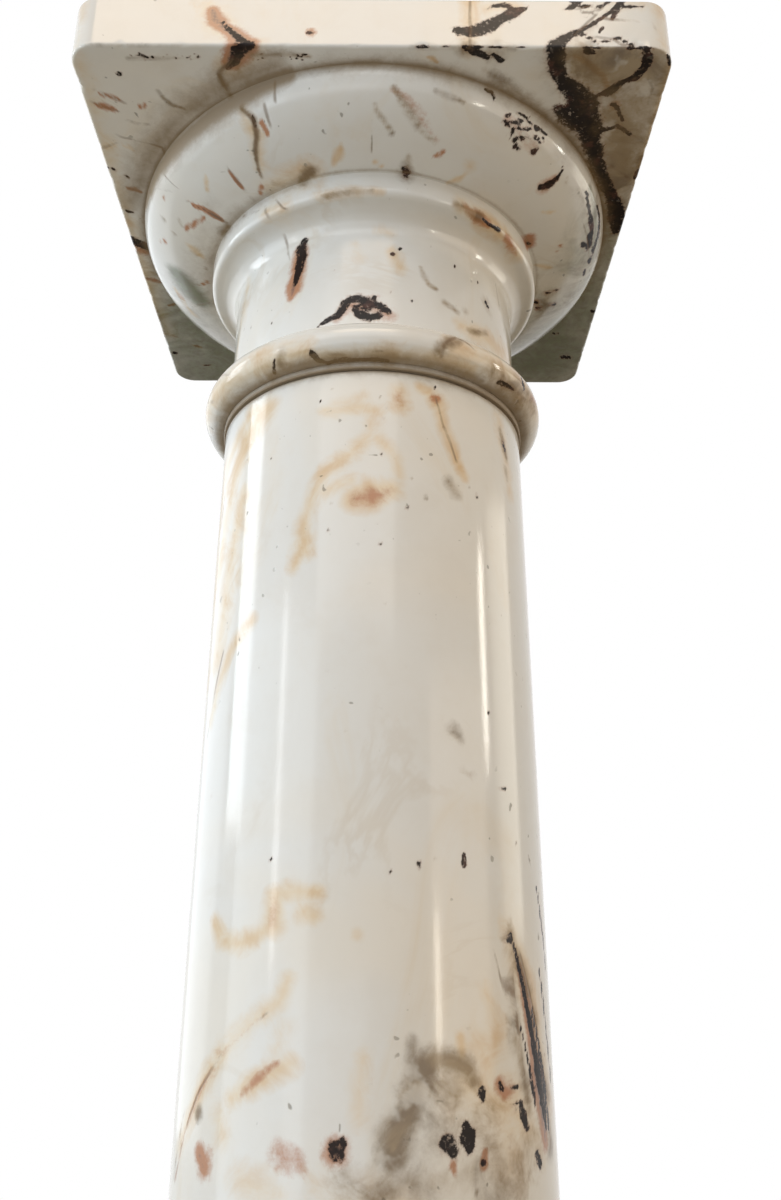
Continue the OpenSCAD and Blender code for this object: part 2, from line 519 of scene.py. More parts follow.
def mark_slab_front(m):
    """Marks on the front of the slab, at millimetres right of its middle and above its lower arris."""
    dark, rust, ochre, olive, crack = m.brushes(on_slab_front, "dark", "rust", "ochre", "olive", "crack")
    # left of the front: a rusty blotch and a brown vein that crosses the lower arris
    rust(1.15, (-79, 23, 3.6), (-78, 18, 5), (-75, 14, 4.4))
    rust(1.4, (-74, 13, 3), (-68, 8, 4.4), (-62, 1, 6))
    ochre(0.7, (-82, 26, 7), (-78, 16, 11), (-72, 11, 8))
    dark(1, (-74, 15, 1.2), (-71, 11, 1.8), (-67, 7, 2.2), (-63, 3, 2.8), (-60, 0, 3.6))
    rust(0.8, (-30, 9, 2.5))
    dark(1, (-31, 9, 1.2), (-28.5, 9.5, 1))
    # the long purple-brown vein right of the middle
    dark(1, (39, 12, 0.8), (44, 10.5, 3.2), (48, 10, 4.3), (53, 11, 4.8), (57, 13, 4.6), (62, 17.5, 3.8),
         (67, 21, 4), (71, 23, 3.4), (74, 25, 1.8), (78, 27, 0.8))
    dark(1, (57, 26, 0.8), (62, 27.5, 1.5), (66, 28.5, 1.8), (70, 25, 1.6))
    ochre(0.7, (58, 26, 4), (66, 28, 5), (72, 26, 4))
    ochre(0.75, (49, 31, 5), (48.5, 16, 4), (49, 0, 6))
    crack((49.5, 32, 0.5), (48.6, 22, 0.45), (48.9, 12, 0.6), (48.2, 0, 0.4))
    # the black vein near the right end, which runs on across the underside
    dark(1, (90, -1, 5), (92, 3, 4.6), (96, 7, 3), (101, 10.5, 1.2))
    olive(0.45, (98, 1, 4), (103, 7, 4), (109, 15, 3))
    dark(1, (100, 9, 1.6), (107, 14, 1), (115, 20.5, 1.2), (119, 24.5, 0.8), (124, 31.5, 1))
    dark(1, (99.5, 31.5, 1.6), (104.5, 28.3, 1.2), (110.5, 26.3, 0.9), (115, 28, 1), (119, 31.5, 1.4))
    dark(0.8, (119, 24, 1.3), (125.5, 27.5, 1.4), (135.5, 27, 1.3))
    dark(0.8, (103, 9.5, 1.3), (111, 3, 1.4), (121.5, 6.5, 1.3), (128, 1.6, 1.3))
    # thin threads beside it
    crack((115, 20, 0.7), (126, 18, 0.6), (139.5, 17.5, 0.6), (140.5, 11, 0.5))
    crack((101, 10, 0.6), (107, 17, 0.5), (112, 23, 0.4))
    dark(1, (96, 26, 1.1), (100, 27, 1.6), (105, 32, 1.4))
    crack((104, 26.5, 0.5), (109, 28, 0.6))
    crack((106, 23.5, 0.4), (111, 24, 0.6), (116, 27.5, 0.4))
    dark(1, (119, 19, 1), (121, 23, 1.5), (122.5, 27, 1.4), (126, 32, 1.8))
    dark(1, (112, 10, 0.8), (114, 13.5, 1.2))
    crack((112, 7, 0.5), (119, 5.8, 0.6), (123, 2.5, 0.6), (129, 1, 0.4))
    # honey-coloured ends
    ochre(0.75, (146, 2, 6), (147, 16, 7), (145, 30, 7))
    ochre(0.6, (120, 31, 6), (134, 30, 6))
    ochre(0.6, (-148, 4, 5), (-147, 28, 5))
    # dark dashes along the lower arris
    for x0, x1, reach in ((22, 28, 1.6), (33, 39, 1), (45, 55, 2), (57, 66, 1.4), (70, 78, 1),
                          (104, 112, 1.6), (126, 138, 2), (-9, -5, 0.6), (-121, -118, 0.6)):
        dark(0.85, (x0, 0, 0.7 * reach), ((x0 + x1) / 2, 0.4, reach), (x1, 0, 0.6 * reach))
    olive(0.7, (20, 0, 2), (70, 0, 2.4))
    olive(0.5, (-140, 0, 1.6), (-85, 0, 1.6))


def mark_under_slab(m):
    """Marks on the slab's underside, in plain x and y, with its front arris at the lowest y."""
    dark, rust, ochre, olive, moss_and_shade, dirt_and_shade, crack = m.brushes(under_slab, "dark", "rust", "ochre", "olive",
                                                            "moss_and_shade", "dirt_and_shade", "crack")
    # the brown vein comes over the front arris
    rust(1.4, (-62, -150, 6), (-66, -146, 6.5), (-70, -140, 4))
    dark(1, (-62, -150, 4), (-66, -146, 4.4), (-68, -141, 3), (-72, -137, 1.8))
    ochre(0.6, (-60, -148, 9), (-70, -138, 8))
    # the black vein runs back to the right side, with thinner ones beside it
    dark(1, (90, -150, 6), (92, -140, 5.6), (96, -131, 4.6), (105, -122, 8), (111, -113, 9),
         (115, -103, 8.5), (118, -93, 7.5), (121, -83, 6.5), (125, -73, 5.5), (131, -61, 4.5),
         (137, -50, 5), (142, -40, 6), (145, -30, 6.2), (147, -20, 3.5))
    olive(0.85, (104, -148, 9), (103, -135, 9), (112, -125, 13), (121, -110, 13), (124, -92, 12),
          (131, -70, 10), (143, -45, 9), (147, -22, 6))
    # the greyer right end, wide and soft
    olive(1.2, (108, -144, 22), (130, -138, 28), facing=DOWN)
    olive(1.05, (133, -110, 30), (140, -60, 20), facing=DOWN)
    dirt_and_shade(0.6, (100, -146, 10), (125, -120, 16), (143, -70, 14), facing=DOWN)
    dark(0.7, (98, -112, 5), (103, -107, 7), (108, -102, 6))
    dark(1, (135, -149, 2.5), (137, -143, 3.4), (136.5, -138, 2.2), (134, -132, 1.8), (128, -130, 1.6),
         (124, -125, 2.2), (121, -122, 2.6))
    crack((134, -132, 0.6), (140, -131, 0.5), (143.5, -126, 0.5), (143, -118, 0.4))
    dark(1, (112, -118, 1.6), (120, -124, 1.5), (125, -128.5, 1.8), (132, -133, 1.6), (136.5, -140, 2.2))
    rust(0.8, (101, -145, 2.2), (108, -140.5, 2), (117, -133, 2.2), (121, -125, 2))
    dark(1, (121, -97, 1.8), (131, -101, 1.6), (139, -95, 1.5))
    dark(1, (126.5, -115.5, 1.6), (133, -104, 1))
    crack((134, -72, 0.7), (139, -68, 0.7), (144, -64, 0.6))
    rust(0.9, (126.5, -115, 4))
    dark(1, (125, -115.5, 1.6), (128, -114.5, 1.4))
    dark(1, (106, -148, 2.6), (109, -147, 1.8))
    dark(1, (147, -146, 2.2), (148.5, -141, 1.6))
    crack((134, -99, 0.5), (140, -95, 0.5), (146, -90, 0.4))
    # the right edge
    ochre(0.85, (149, -140, 3), (149.5, -100, 3), (149.5, -62, 3.5))
    dark(1, (149, -68, 2), (148.5, -63, 1.6))
    # behind the middle of the front arris
    dark(0.9, (47, -149, 2.2), (52, -147, 3), (57, -144, 2))
    olive(0.7, (45, -149, 5), (60, -146, 6))
    dark(1, (60, -146, 1.2), (64, -142, 1.8))
    olive(0.6, (57, -136, 3), (66, -130, 4), (80, -118, 5), (92, -108, 5))
    # the brown vein runs on as a thread, past a row of fine grains along the front
    olive(0.9, (-70, -141, 1.3), (-77, -133, 1.8), (-75, -125, 2.2), (-72, -116, 2))
    crack((-70, -141, 0.5), (-77, -133, 0.6), (-75, -125, 0.6), (-72, -116, 0.5))
    olive(0.5, (-121, -142, 1.4), (-86, -142.5, 1.6))
    olive(0.7, (-60, -144.5, 2), (-46, -145, 2.8), (-31, -144, 2))
    grains = random.Random(5)
    for _ in range(46):
        x = grains.uniform(-121, -84) if grains.random() < 0.5 else grains.uniform(-58, -30)
        dark(0.75, (x, -143.5 + grains.uniform(-1.6, 1.6), grains.uniform(0.5, 1.0)))
    for x, y, reach in ((-128, -133, 1.3), (-148, -68, 1.8), (-141, -62, 1.5), (-145, -34, 1.8),
                        (-147, 112, 2), (-125, 128, 1.8), (-100, 92, 1.6), (126, 86, 1.8),
                        (138, 115, 3), (149, 60, 2)):
        dark(0.85, (x - reach, y, 0.7 * reach), (x + reach, y + 0.5, 0.8 * reach))
    rust(0.8, (-141, -120, 1.2), (-136, -119, 1.6), (-131, -116, 1.2))
    crack((-142, -122, 0.7), (-137, -119, 0.9), (-130, -115, 0.6))
    olive(0.9, (-110, -122, 1), (-108, -117, 1.4), (-104, -113, 1.5), (-99, -111, 1))
    crack((-129, -102, 0.7), (-125, -100, 0.9), (-120, -100, 0.6))
    crack((-141, -95, 0.5), (-136, -91, 0.5), (-132, -90, 0.4))
    crack((-127, -88, 0.4), (-120, -86, 0.5), (-115, -84, 0.5), (-115, -79, 0.4))
    for kind, x, y, turn, size in (
        ("rust", -140, -112, 1, 1.5), ("rust", -121, -112, -1, 0.7), ("ochre", -134, -84, 1, 0.8),
        ("rust", -138, -52, 1, 1.2), ("ochre", -146, -84, -1, 1.6), ("olive", -134, -38, 1, 0.6),
        ("rust", -144, 30, 1, 1.3), ("rust", -137, 56, -1, 0.8), ("ochre", -146, 90, 1, 1.4),
        ("rust", -128, 104, 1, 1.0), ("ochre", 30, -143, 1, 0.8),
    ):
        path = (x - 3 * size, y - turn, size), (x, y, 1.9 * size), (x + 3 * size, y + 2 * turn, 1.2 * size)
        m.stain(kind, under_slab, 0.85, *path)
        if size > 1.1:
            crack((x - 5, y - 2.5 * turn, 0.5), (x - 1, y, 0.8), (x + 5, y + 2.5 * turn, 0.4))
    # the left edge
    ochre(0.62, (-146, -140, 7), (-147, -60, 7), (-147, 20, 8), (-146, 90, 6), facing=DOWN)
    dark(1, (-150, -9, 4), (-145, -5, 4.5), (-139, -1, 3.6), (-136, 2, 1.5))
    rust(0.6, (-146, 0, 5), (-141, 4, 4))
    ochre(0.85, (-149, 20, 4), (-148, 40, 5), (-149, 62, 4))
    ochre(0.6, (-149, -140, 3), (-149.5, -60, 3))
    # painted shade: the underside darkens towards the back corners
    moss_and_shade(0.95, (125, -30, 26), (130, 40, 38), (118, 120, 64), facing=DOWN)
    moss_and_shade(0.85, (-118, 20, 22), (-126, 70, 38), (-112, 128, 64), facing=DOWN)
    moss_and_shade(0.7, (-100, 140, 30), (100, 140, 30), facing=DOWN)
    # painted shade on the underside where the slab meets the echinus, on the left
    beside_echinus = [turned(angle, ECHINUS_R + 7, 12) for angle in (-74, -60, -45, -30, -20)]
    dirt_and_shade(0.72, *beside_echinus, facing=DOWN)


def mark_echinus(m):
    """Marks on the ovolo, at degrees from the front and millimetres down its curve."""
    dark, rust, ochre, olive, moss_and_shade, dirt_and_shade, crack = m.brushes(on_echinus, "dark", "rust", "ochre", "olive",
                                                            "moss_and_shade", "dirt_and_shade", "crack")
    # the long brown vein, left of the middle, and the threads beside it
    olive(0.85, (-29, 9, 1.2), (-27, 17, 2), (-27.5, 24, 1.6), (-29.5, 30, 1.7), (-31, 36, 1.4),
          (-32.5, 44, 1.2))
    rust(0.8, (-25.5, 19, 1.4), (-25, 25, 1.2))
    ochre(0.6, (-29, 12, 4), (-27.5, 24, 4.5), (-31, 40, 4))
    crack((-29, 10, 0.5), (-27, 17, 0.8), (-27.5, 24, 0.7), (-29.5, 30, 0.7), (-31, 36, 0.6),
          (-32.5, 43, 0.5))
    dark(0.8, (-27, 16, 1.2), (-27.2, 21, 1.4))
    crack((-23.5, 14, 0.6), (-23.6, 21, 0.5))
    crack((-20.5, 4, 0.5), (-20.8, 11, 0.6))
    crack((-39.5, 31, 0.6), (-39.2, 38, 0.9), (-39.7, 44, 0.8), (-40.5, 54, 0.6))
    rust(1, (-39.5, 34, 1), (-39.8, 44, 1.2))
    rust(1.35, (-56.5, 32, 1.2), (-55, 38, 1.8), (-54.6, 43, 2), (-54.5, 50, 1.4))
    crack((-56.5, 31, 0.7), (-55, 39, 1), (-54.5, 44, 1), (-54.5, 52, 0.7))
    olive(0.85, (-60, 56, 3.4), (-56, 55.5, 2.6))
    olive(0.9, (-64, 30, 1.6), (-65.5, 33, 1.4))
    crack((-62, 11, 0.4), (-59, 18, 0.4))
    crack((-57, 12, 0.3), (-56, 20, 0.3))
    rust(0.8, (-62, 17, 1.6))
    olive(0.8, (-68, 22, 2.2))
    # low on the curve, over the crease
    olive(0.9, (-18, 51, 4), (-22, 55, 3))
    olive(0.6, (-31, 51, 4))
    ochre(0.7, (-19, 51, 8), (-32, 53, 7))
    crack((0, 30, 0.3), (0, 42, 0.3))
    # the green patch on the left, and painted shade along the crease and over the lower left of the echinus
    moss_and_shade(1.25, (-86, 33, 6), (-92, 39, 10), (-97, 43, 8))
    moss_and_shade(1.6, (-90, 38, 5), (-95, 42, 6))
    dirt_and_shade(0.62, (-100, 56, 8), (-84, 54, 8), (-70, 56, 7), (-55, 57, 6), (-38, 56, 6), (-22, 56, 5))
    dirt_and_shade(0.36, (-100, 40, 12), (-84, 46, 12), (-66, 46, 9), (-52, 40, 9))
    # speckled brown strokes right of the middle
    olive(0.8, (4.5, 12, 1.6), (6.8, 19, 2.6), (9, 24, 3), (11, 28, 2.6), (13, 32, 2.4), (16, 35, 1.4))
    rust(0.42, (4.5, 13, 2), (8, 18, 3), (10.5, 23, 3.6), (12.5, 28, 3), (16, 34, 2))
    # painted shade high on the left, where the slab overhangs the echinus
    dirt_and_shade(1.15, (-72, 3, 4), (-55, 5, 7), (-41, 6, 8), (-29, 4, 8), (-17, 1, 5))
    # more speckled brown strokes right of the middle
    olive(0.85, (0.7, 21, 1.8), (1.8, 25, 2.2), (3.7, 30, 2), (5, 33, 1.4))
    olive(0.85, (13.5, 11, 1.5), (16, 12, 1.9), (20, 13, 1.4))
    dark(1, (24.3, 3, 1), (26, 3.4, 1.3), (26.7, 6.5, 0.9))
    dark(0.8, (10.5, 56, 3), (9.5, 53, 2))
    olive(0.8, (10.5, 55, 5), (10, 44, 2))
    ochre(0.6, (27, 41, 4))
    # short flecks all round the front
    for kind, angle, way, turn, size in (
        ("rust", -76, 24, 1, 0.7), ("ochre", -72, 44, -1, 1.3), ("rust", -63, 38, 3, 1.0),
        ("olive", -70, 30, 0, 0.6), ("ochre", -47, 30, -1, 0.8), ("rust", -35, 50, -1, 0.7),
        ("ochre", -9, 44, -1, 1.2), ("ochre", 1, 50, 1, 0.6), ("rust", 18, 40, -1, 0.8),
        ("ochre", 26, 51, -1, 1.1), ("ochre", 57, 36, -1, 0.8), ("rust", 71, 39, 1, 0.6),
        ("ochre", 78, 50, -1, 1.2), ("rust", -88, 50, 1, 0.8), ("olive", -80, 52, 1, 0.5),
    ):
        ends = (angle - turn, way - 3 * size, 1.2 * size), (angle + 2 * turn, way + 4 * size, 1.2 * size)
        m.stain(kind, on_echinus, 0.85, ends[0], (angle, way, 2.3 * size), ends[1])
    # a cluster of short purple-brown dashes, right
    dashes = random.Random(8)
    for row in range(7):
        for column in range(5):
            angle = 31.0 + 2.3 * column + 0.25 * row + dashes.uniform(-0.9, 0.9)
            way = 7.0 + 2.3 * row + 1.1 * (2 - column) + dashes.uniform(-0.8, 0.8)
            if (angle - 36) ** 2 / 36 + (way - 14) ** 2 / 72 > dashes.uniform(0.6, 1.3):
                continue
            length, tilt, reach = dashes.uniform(0.5, 1.2), dashes.uniform(0.2, 1.0), dashes.uniform(0.8, 1.7)
            dark(0.78, (angle - length, way + tilt, 0.6 * reach), (angle + length, way - tilt, 0.85 * reach))
    rust(0.34, (31, 14, 4), (36, 13, 6), (39.5, 17, 5))
    # the dark comma
    dark(1, (50, 15, 0.8), (50.6, 19.5, 1.3), (50.4, 23.5, 2.2), (49.8, 27, 3), (48.4, 31, 2.4))
    rust(0.7, (50.5, 22, 3), (49, 29, 4.5))
    olive(0.6, (53, 17, 2), (53.5, 20, 2))
    rust(0.95, (62, 53, 4), (65, 55, 4))
    dark(0.7, (64.5, 56, 2))
    # the dark and green sliver on the right limb
    crack((66, 5, 0.5), (76, 9, 0.7), (84, 12, 0.8), (92, 17, 0.6))
    dark(1, (61, 12, 0.8), (64, 14.5, 1.2), (68, 16, 1.6), (72, 16.5, 2), (75.5, 19.5, 2.8), (78, 21, 3.4))
    dark(1, (78, 21.5, 2.6), (75.5, 25.5, 1.6), (73, 27, 0.8))
    dark(1, (69, 8.5, 1), (72.5, 8.5, 1.5), (76.5, 11.5, 1.7), (81.5, 17.5, 1.7), (86, 21, 1.4),
         (91.5, 24, 0.9))
    moss_and_shade(0.9, (62, 9, 2.5), (69, 12, 3.6), (74, 14, 3.6), (79, 17, 3))
    crack((70, 22, 0.4), (82, 21, 0.4))
    olive(0.45, (84, 26, 8), (100, 30, 12))


def mark_band(m):
    """Marks on the bead under the echinus, at degrees from the front and heights."""
    dark, rust, ochre, olive, crack = m.brushes(on_band, "dark", "rust", "ochre", "olive", "crack")
    olive(0.6, (-15.5, 1026, 2), (-9, 1027, 2), (0, 1027, 1.4))
    ochre(0.5, (-18, 1027, 4), (-8, 1027, 3.5), (3, 1027, 2.4))
    olive(0.9, (27, 1028, 3), (33, 1027.5, 3.6), (37, 1027.5, 3))
    dark(1, (38, 1027, 1.1), (41, 1026, 1.5), (46, 1027, 1.5))
    rust(0.8, (31, 1028.5, 3), (36, 1027, 4), (41, 1026, 2.5))
    ochre(0.9, (30, 1028, 6), (45, 1026, 6), (58, 1024, 7))
    dark(1, (49, 1026, 1.2), (53, 1023.5, 2.2), (56.5, 1021.5, 1.4))
    rust(1, (51, 1025, 4), (55, 1023, 5), (60, 1021, 3))
    # the long vein of the echinus runs on down the bead
    crack((-37, 1038, 0.6), (-36.5, 1030, 0.6), (-34.5, 1021, 0.6))
    crack((-33, 1036, 0.4), (-29, 1026, 0.4))
    ochre(0.6, (-38, 1030, 6), (-30, 1026, 6))
    crack((-47, 1037, 0.6), (-40, 1033, 0.5))


def mark_neck(m):
    """Marks on the neck, at degrees from the front and heights."""
    dark, rust, ochre, olive, crack = m.brushes(on_neck, "dark", "rust", "ochre", "olive", "crack")
    crack((-34.5, 1020, 0.6), (-34.2, 1012, 0.5), (-33.5, 1008, 0.4))
    # the upright dark stroke
    dark(1, (-26.5, 1014.5, 2.6), (-27.9, 1010.5, 4.2), (-27.7, 1004, 4), (-28.6, 998, 3.4),
         (-29.2, 993, 2.8), (-30.2, 988.5, 1.6))
    rust(0.95, (-28, 1008, 5), (-29, 998, 5.5), (-30.6, 986, 5), (-31.6, 981, 3))
    # the curled dark stroke
    dark(1, (-20, 957, 0.9), (-16.5, 959.5, 2), (-12.5, 962, 2.8), (-10.4, 965.5, 3), (-9.6, 969, 3),
         (-7.6, 971, 3), (-4.8, 971, 3.2), (-2, 969.5, 3.2), (1, 967.6, 3.2), (4, 965.8, 3),
         (6.6, 963.4, 1.9))
    dark(1, (-5.6, 965, 2.8), (-4.4, 961.5, 3.2), (-1, 959.4, 3.4), (2.8, 960.8, 2.8))
    dark(1, (-1, 970, 1), (1.7, 972.4, 0.8))
    dark(0.72, (-1.4, 964.4, 5.2))
    rust(0.6, (-13, 960, 4), (-8, 968, 6), (0, 965, 8), (6, 962, 5))
    # spots and pale patches
    dark(1, (7.8, 1000, 1.6))
    dark(1, (10.5, 1004, 1.3))
    ochre(0.75, (8, 1001, 4), (10.3, 992, 4.5))
    olive(0.95, (18.3, 994, 1.6), (20, 988.5, 2.2), (21.6, 984.5, 2), (24.6, 983, 1.6))
    ochre(0.5, (3, 1014, 4), (7, 1013, 4))
    ochre(0.4, (-6.5, 1006, 4), (-4, 997, 4))
    olive(0.75, (50, 990, 5), (52, 986, 4))
    dark(1, (49.5, 991, 1.2), (51.5, 988, 1.4))
    crack((58.5, 1009, 0.4), (61.5, 995, 0.6), (64.5, 986, 0.4))
    olive(0.8, (28, 976, 2.4), (34, 973, 2))
    olive(0.7, (38, 976, 3))
    ochre(0.85, (35.5, 966, 5), (44, 966, 8), (56, 966, 10), (70, 968, 10))
    olive(0.9, (39, 965, 2.4), (44, 966.5, 2.6), (49, 970, 2))
    ochre(0.55, (-60, 1010, 6), (-68, 985, 8), (-72, 962, 8))
    crack((-65, 1000, 0.4), (-70, 985, 0.4))
    for angle, z in ((-41, 970), (-55, 978), (33, 1002), (61, 977), (-14, 990), (15, 972), (7, 975),
                     (45, 1000)):
        dark(0.8, (angle, z, 0.9))


def mark_astragal(m):
    """Marks on the astragal, at degrees from the front and degrees round its section."""
    dark, rust, ochre, olive, dirt_and_shade, crack = m.brushes(on_astragal, "dark", "rust", "ochre", "olive", "dirt_and_shade",
                                                      "crack")
    dark(1, (-18.6, -40, 1.4), (-18, -52, 2.2), (-16.5, -70, 1.8), (-14, -84, 1.4))
    crack((-18, -50, 0.6), (-8, -58, 0.6), (3, -52, 0.4))
    dark(1, (-14, -80, 1.2), (-9, -76, 2), (-4, -80, 1.6), (2, -78, 1.8), (6, -84, 1))
    olive(0.95, (-28, -20, 3), (-30, -45, 4))
    dark(0.85, (-31, -30, 0.8), (-32, -44, 1.1), (-33.6, -70, 1.2))
    ochre(0.85, (-80, -20, 8), (-62, -20, 8), (-48, -30, 9), (-34, -34, 8), (-20, -34, 6))
    ochre(0.9, (-16, -60, 5), (10, -60, 5), (34, -50, 6))
    # painted shade and dirt along the bead's underside at the front
    dirt_and_shade(1, (-34, -76, 4), (-12, -74, 5), (14, -74, 5), (40, -76, 4))
    crack((-76, 12, 0.6), (-71, -6, 0.7), (-67, -24, 0.6))
    crack((-58, 24, 0.4), (-52, -8, 0.4))
    # the forked thread on the right
    crack((22.5, -36, 0.6), (22.5, -12, 0.7), (24, 8, 0.6), (27.5, 34, 0.6), (28.5, 52, 0.4))
    crack((27.5, 34, 0.5), (30.5, 26, 0.5), (32.5, 12, 0.4))
    olive(0.85, (21, -30, 4), (24, -8, 4), (28, 28, 3))
    olive(0.7, (40, -30, 6), (55, -30, 7), (70, -20, 7))
    dark(0.8, (46, -50, 1.4), (50, -44, 1.6), (54, -46, 0.8))
    dark(1, (57, 12, 1), (58, -4, 1.4), (59, -14, 0.9))
    rust(0.7, (66, -10, 3), (72, 4, 3))
    ochre(0.9, (26, -20, 7), (40, -10, 8), (56, -10, 9), (80, -10, 9))
    crack((64, 20, 0.5), (67, 0, 0.5), (66, -20, 0.5))


def mark_shaft_front(m):
    """Marks on the shaft that the photograph shows, at degrees from the front and heights."""
    dark, rust, ochre, olive, crack = m.brushes(on_shaft, "dark", "rust", "ochre", "olive", "crack")
    # ochre veining below the joint
    ochre(0.75, (-16, 905, 4), (-11, 903, 6), (-4, 905, 6), (2, 903, 4))
    ochre(0.5, (-13, 908, 4), (-2, 911, 4))
    rust(0.3, (9.5, 914, 3), (10.5, 908, 3))
    ochre(0.75, (9.5, 916, 5), (10.5, 907, 5))
    rust(0.8, (22.5, 914.5, 2.6), (24, 915, 1.8))
    ochre(0.9, (17, 919, 3), (20.5, 917, 3.4), (24, 912, 5), (25.5, 900, 4), (28.5, 891, 4), (31, 882, 3.6),
          (34, 874, 3))
    crack((23.5, 913, 0.4), (25.5, 901, 0.5), (28.5, 891, 0.5), (30.5, 883, 0.4))
    ochre(0.75, (-1, 888, 5), (-6, 880, 5), (-11, 874, 5), (-15, 870, 5), (-18.5, 860, 5), (-21, 848, 5),
          (-22, 832, 6), (-24.5, 823, 4))
    ochre(0.75, (2, 888, 4), (6, 883, 4.5), (9, 876, 5), (10, 868, 4))
    ochre(0.55, (0, 898, 6), (0, 890, 6))
    rust(0.5, (-4, 855, 4), (1, 856, 5), (6, 858.5, 3))
    ochre(1.1, (-5, 855, 6), (0, 857, 8), (7, 860, 6))
    rust(0.5, (6, 860, 1.6), (8.5, 860, 1.4))
    ochre(0.75, (-15, 860, 5), (-10, 863, 5), (-6, 865, 4))
    ochre(0.8, (-21, 836, 6), (-21, 830, 6))
    # flecks, most of them dark and some olive
    for angle, z, reach in (
        (4, 879, 1.3), (-13, 917, 1.2), (-17, 911, 1), (4.2, 900, 1.2), (5, 906, 1), (3.4, 911, 1),
        (14, 868, 1.6), (12.6, 851, 1.8), (4, 831, 1.5), (25.5, 900, 1.2), (19, 858, 1.8), (36, 869, 1.3),
        (39, 866, 1.8), (8.5, 877, 1.2), (-12.5, 854, 1.3), (-13, 839, 1.2), (-12, 769, 1.4), (5.5, 801, 1.5),
        (-36, 885, 1.6), (-28, 688, 1.8), (15.5, 685.5, 2.2), (20.5, 687.5, 1.4), (7, 683, 1.3),
        (23.5, 749, 1.2), (41, 756, 1.2), (52, 699, 1.4), (48, 722, 0.9), (-58, 720, 1), (-6, 742, 0.9),
        (17, 725, 0.8), (23, 921, 1), (-25, 908, 1), (-40, 866, 1), (33.5, 573, 2.2), (31, 563, 1.8),
        (-25, 918, 0.8),
    ):
        kind = "olive" if round(angle * 7 + z) % 5 < 2 else "dark"
        m.stain(kind, on_shaft, 0.72, (angle - 0.2, z, 0.75 * reach), (angle + 0.3, z - 0.6, 0.5 * reach))
    dark(1, (29.5, 690, 1.1), (29.7, 686, 1.5))
    # small grey-olive patches
    olive(0.7, (27.5, 869, 3.5), (30, 864, 4.5))
    olive(0.6, (27, 744, 4.5), (29, 741, 3.5))
    olive(0.5, (30, 727, 3), (33, 725, 3))
    olive(1, (54, 913, 2.4), (56, 905, 3.2), (58, 899, 2.4))
    dark(0.8, (56, 906, 1.6), (57.5, 903, 1.4))
    olive(0.8, (57, 892, 3), (58, 886, 2.4))
    ochre(0.75, (53, 920, 5), (56, 905, 6), (60, 880, 6))
    # the left limb, streaked with ochre
    ochre(0.85, (-40, 916, 8), (-50, 905, 10), (-58, 885, 10), (-64, 862, 9), (-70, 840, 9))
    ochre(0.75, (-46, 920, 6), (-66, 900, 8), (-76, 870, 8), (-80, 820, 10), (-76, 780, 8))
    ochre(0.75, (-50, 876, 7), (-54, 850, 9), (-58, 820, 9), (-62, 790, 8))
    ochre(0.6, (-68, 905, 12), (-72, 860, 12), (-76, 800, 10), (-78, 740, 8))
    ochre(0.75, (-41, 800, 4), (-46, 795, 5), (-52, 788, 5), (-58, 775, 5), (-64, 758, 5))
    ochre(0.5, (-50, 830, 7), (-56, 812, 7))
    crack((-57, 789, 0.5), (-59.5, 780, 0.6), (-62.5, 769, 0.6), (-67, 752, 0.4))
    crack((-68, 880, 0.4), (-72, 850, 0.4))
    # ochre patches and sweeping arcs lower down, left
    ochre(0.9, (-27, 673, 4), (-21, 674, 5), (-13, 674, 3.4))
    ochre(1, (-26, 672, 5), (-26.5, 662, 6))
    rust(0.28, (-26, 671, 3), (-27, 663, 3.5))
    ochre(0.8, (-17, 666, 5), (-14, 664, 4))
    ochre(0.85, (-50, 663, 4), (-46, 657, 5), (-39, 654, 5), (-33, 656, 4), (-28, 660, 4))
    ochre(0.6, (-2, 657, 3))
    ochre(0.8, (-21, 640, 4), (-23, 632, 5), (-31, 624, 5), (-38, 617, 5), (-44, 609, 5), (-50, 601, 5),
          (-55, 592, 5), (-60, 583, 5), (-65, 573, 5))
    rust(0.42, (-28, 626, 1.2), (-42.8, 611, 1.7), (-53.3, 595, 1.9), (-60, 581, 1.9), (-66.8, 561, 1.7))
    crack((-28, 626, 0.3), (-42.8, 611, 0.45), (-53.3, 595, 0.5), (-60, 581, 0.5), (-66.8, 561, 0.4))
    crack((-58, 600, 0.3), (-63, 585, 0.4), (-69, 562, 0.4))
    ochre(0.85, (-20, 608, 5), (-26, 604, 5), (-32, 600, 5), (-38, 595, 4))
    ochre(0.5, (-22, 622, 6), (-24, 612, 6))
    rust(0.5, (-23, 609, 1.2), (-28, 604, 1.8), (-34.3, 596.7, 1.6))
    ochre(0.6, (0, 611, 5), (-1, 600, 6), (-1, 590, 5))
    ochre(0.6, (-43, 588, 5), (-40, 580, 5))
    olive(0.85, (-52, 588, 3.2))
    rust(0.5, (-22, 577, 5), (-18, 573, 6))
    rust(0.8, (-50, 573, 4.5), (-48, 568, 5))
    ochre(0.6, (-33, 566, 7), (-20, 562, 8))
    # the round spot near the middle
    dark(1, (-6.8, 579.5, 3.4), (-6, 577.8, 3.8))
    dark(1, (-5, 582, 1.6), (-4.5, 580.5, 1.6))
    rust(1, (-6.5, 578.5, 5.4))
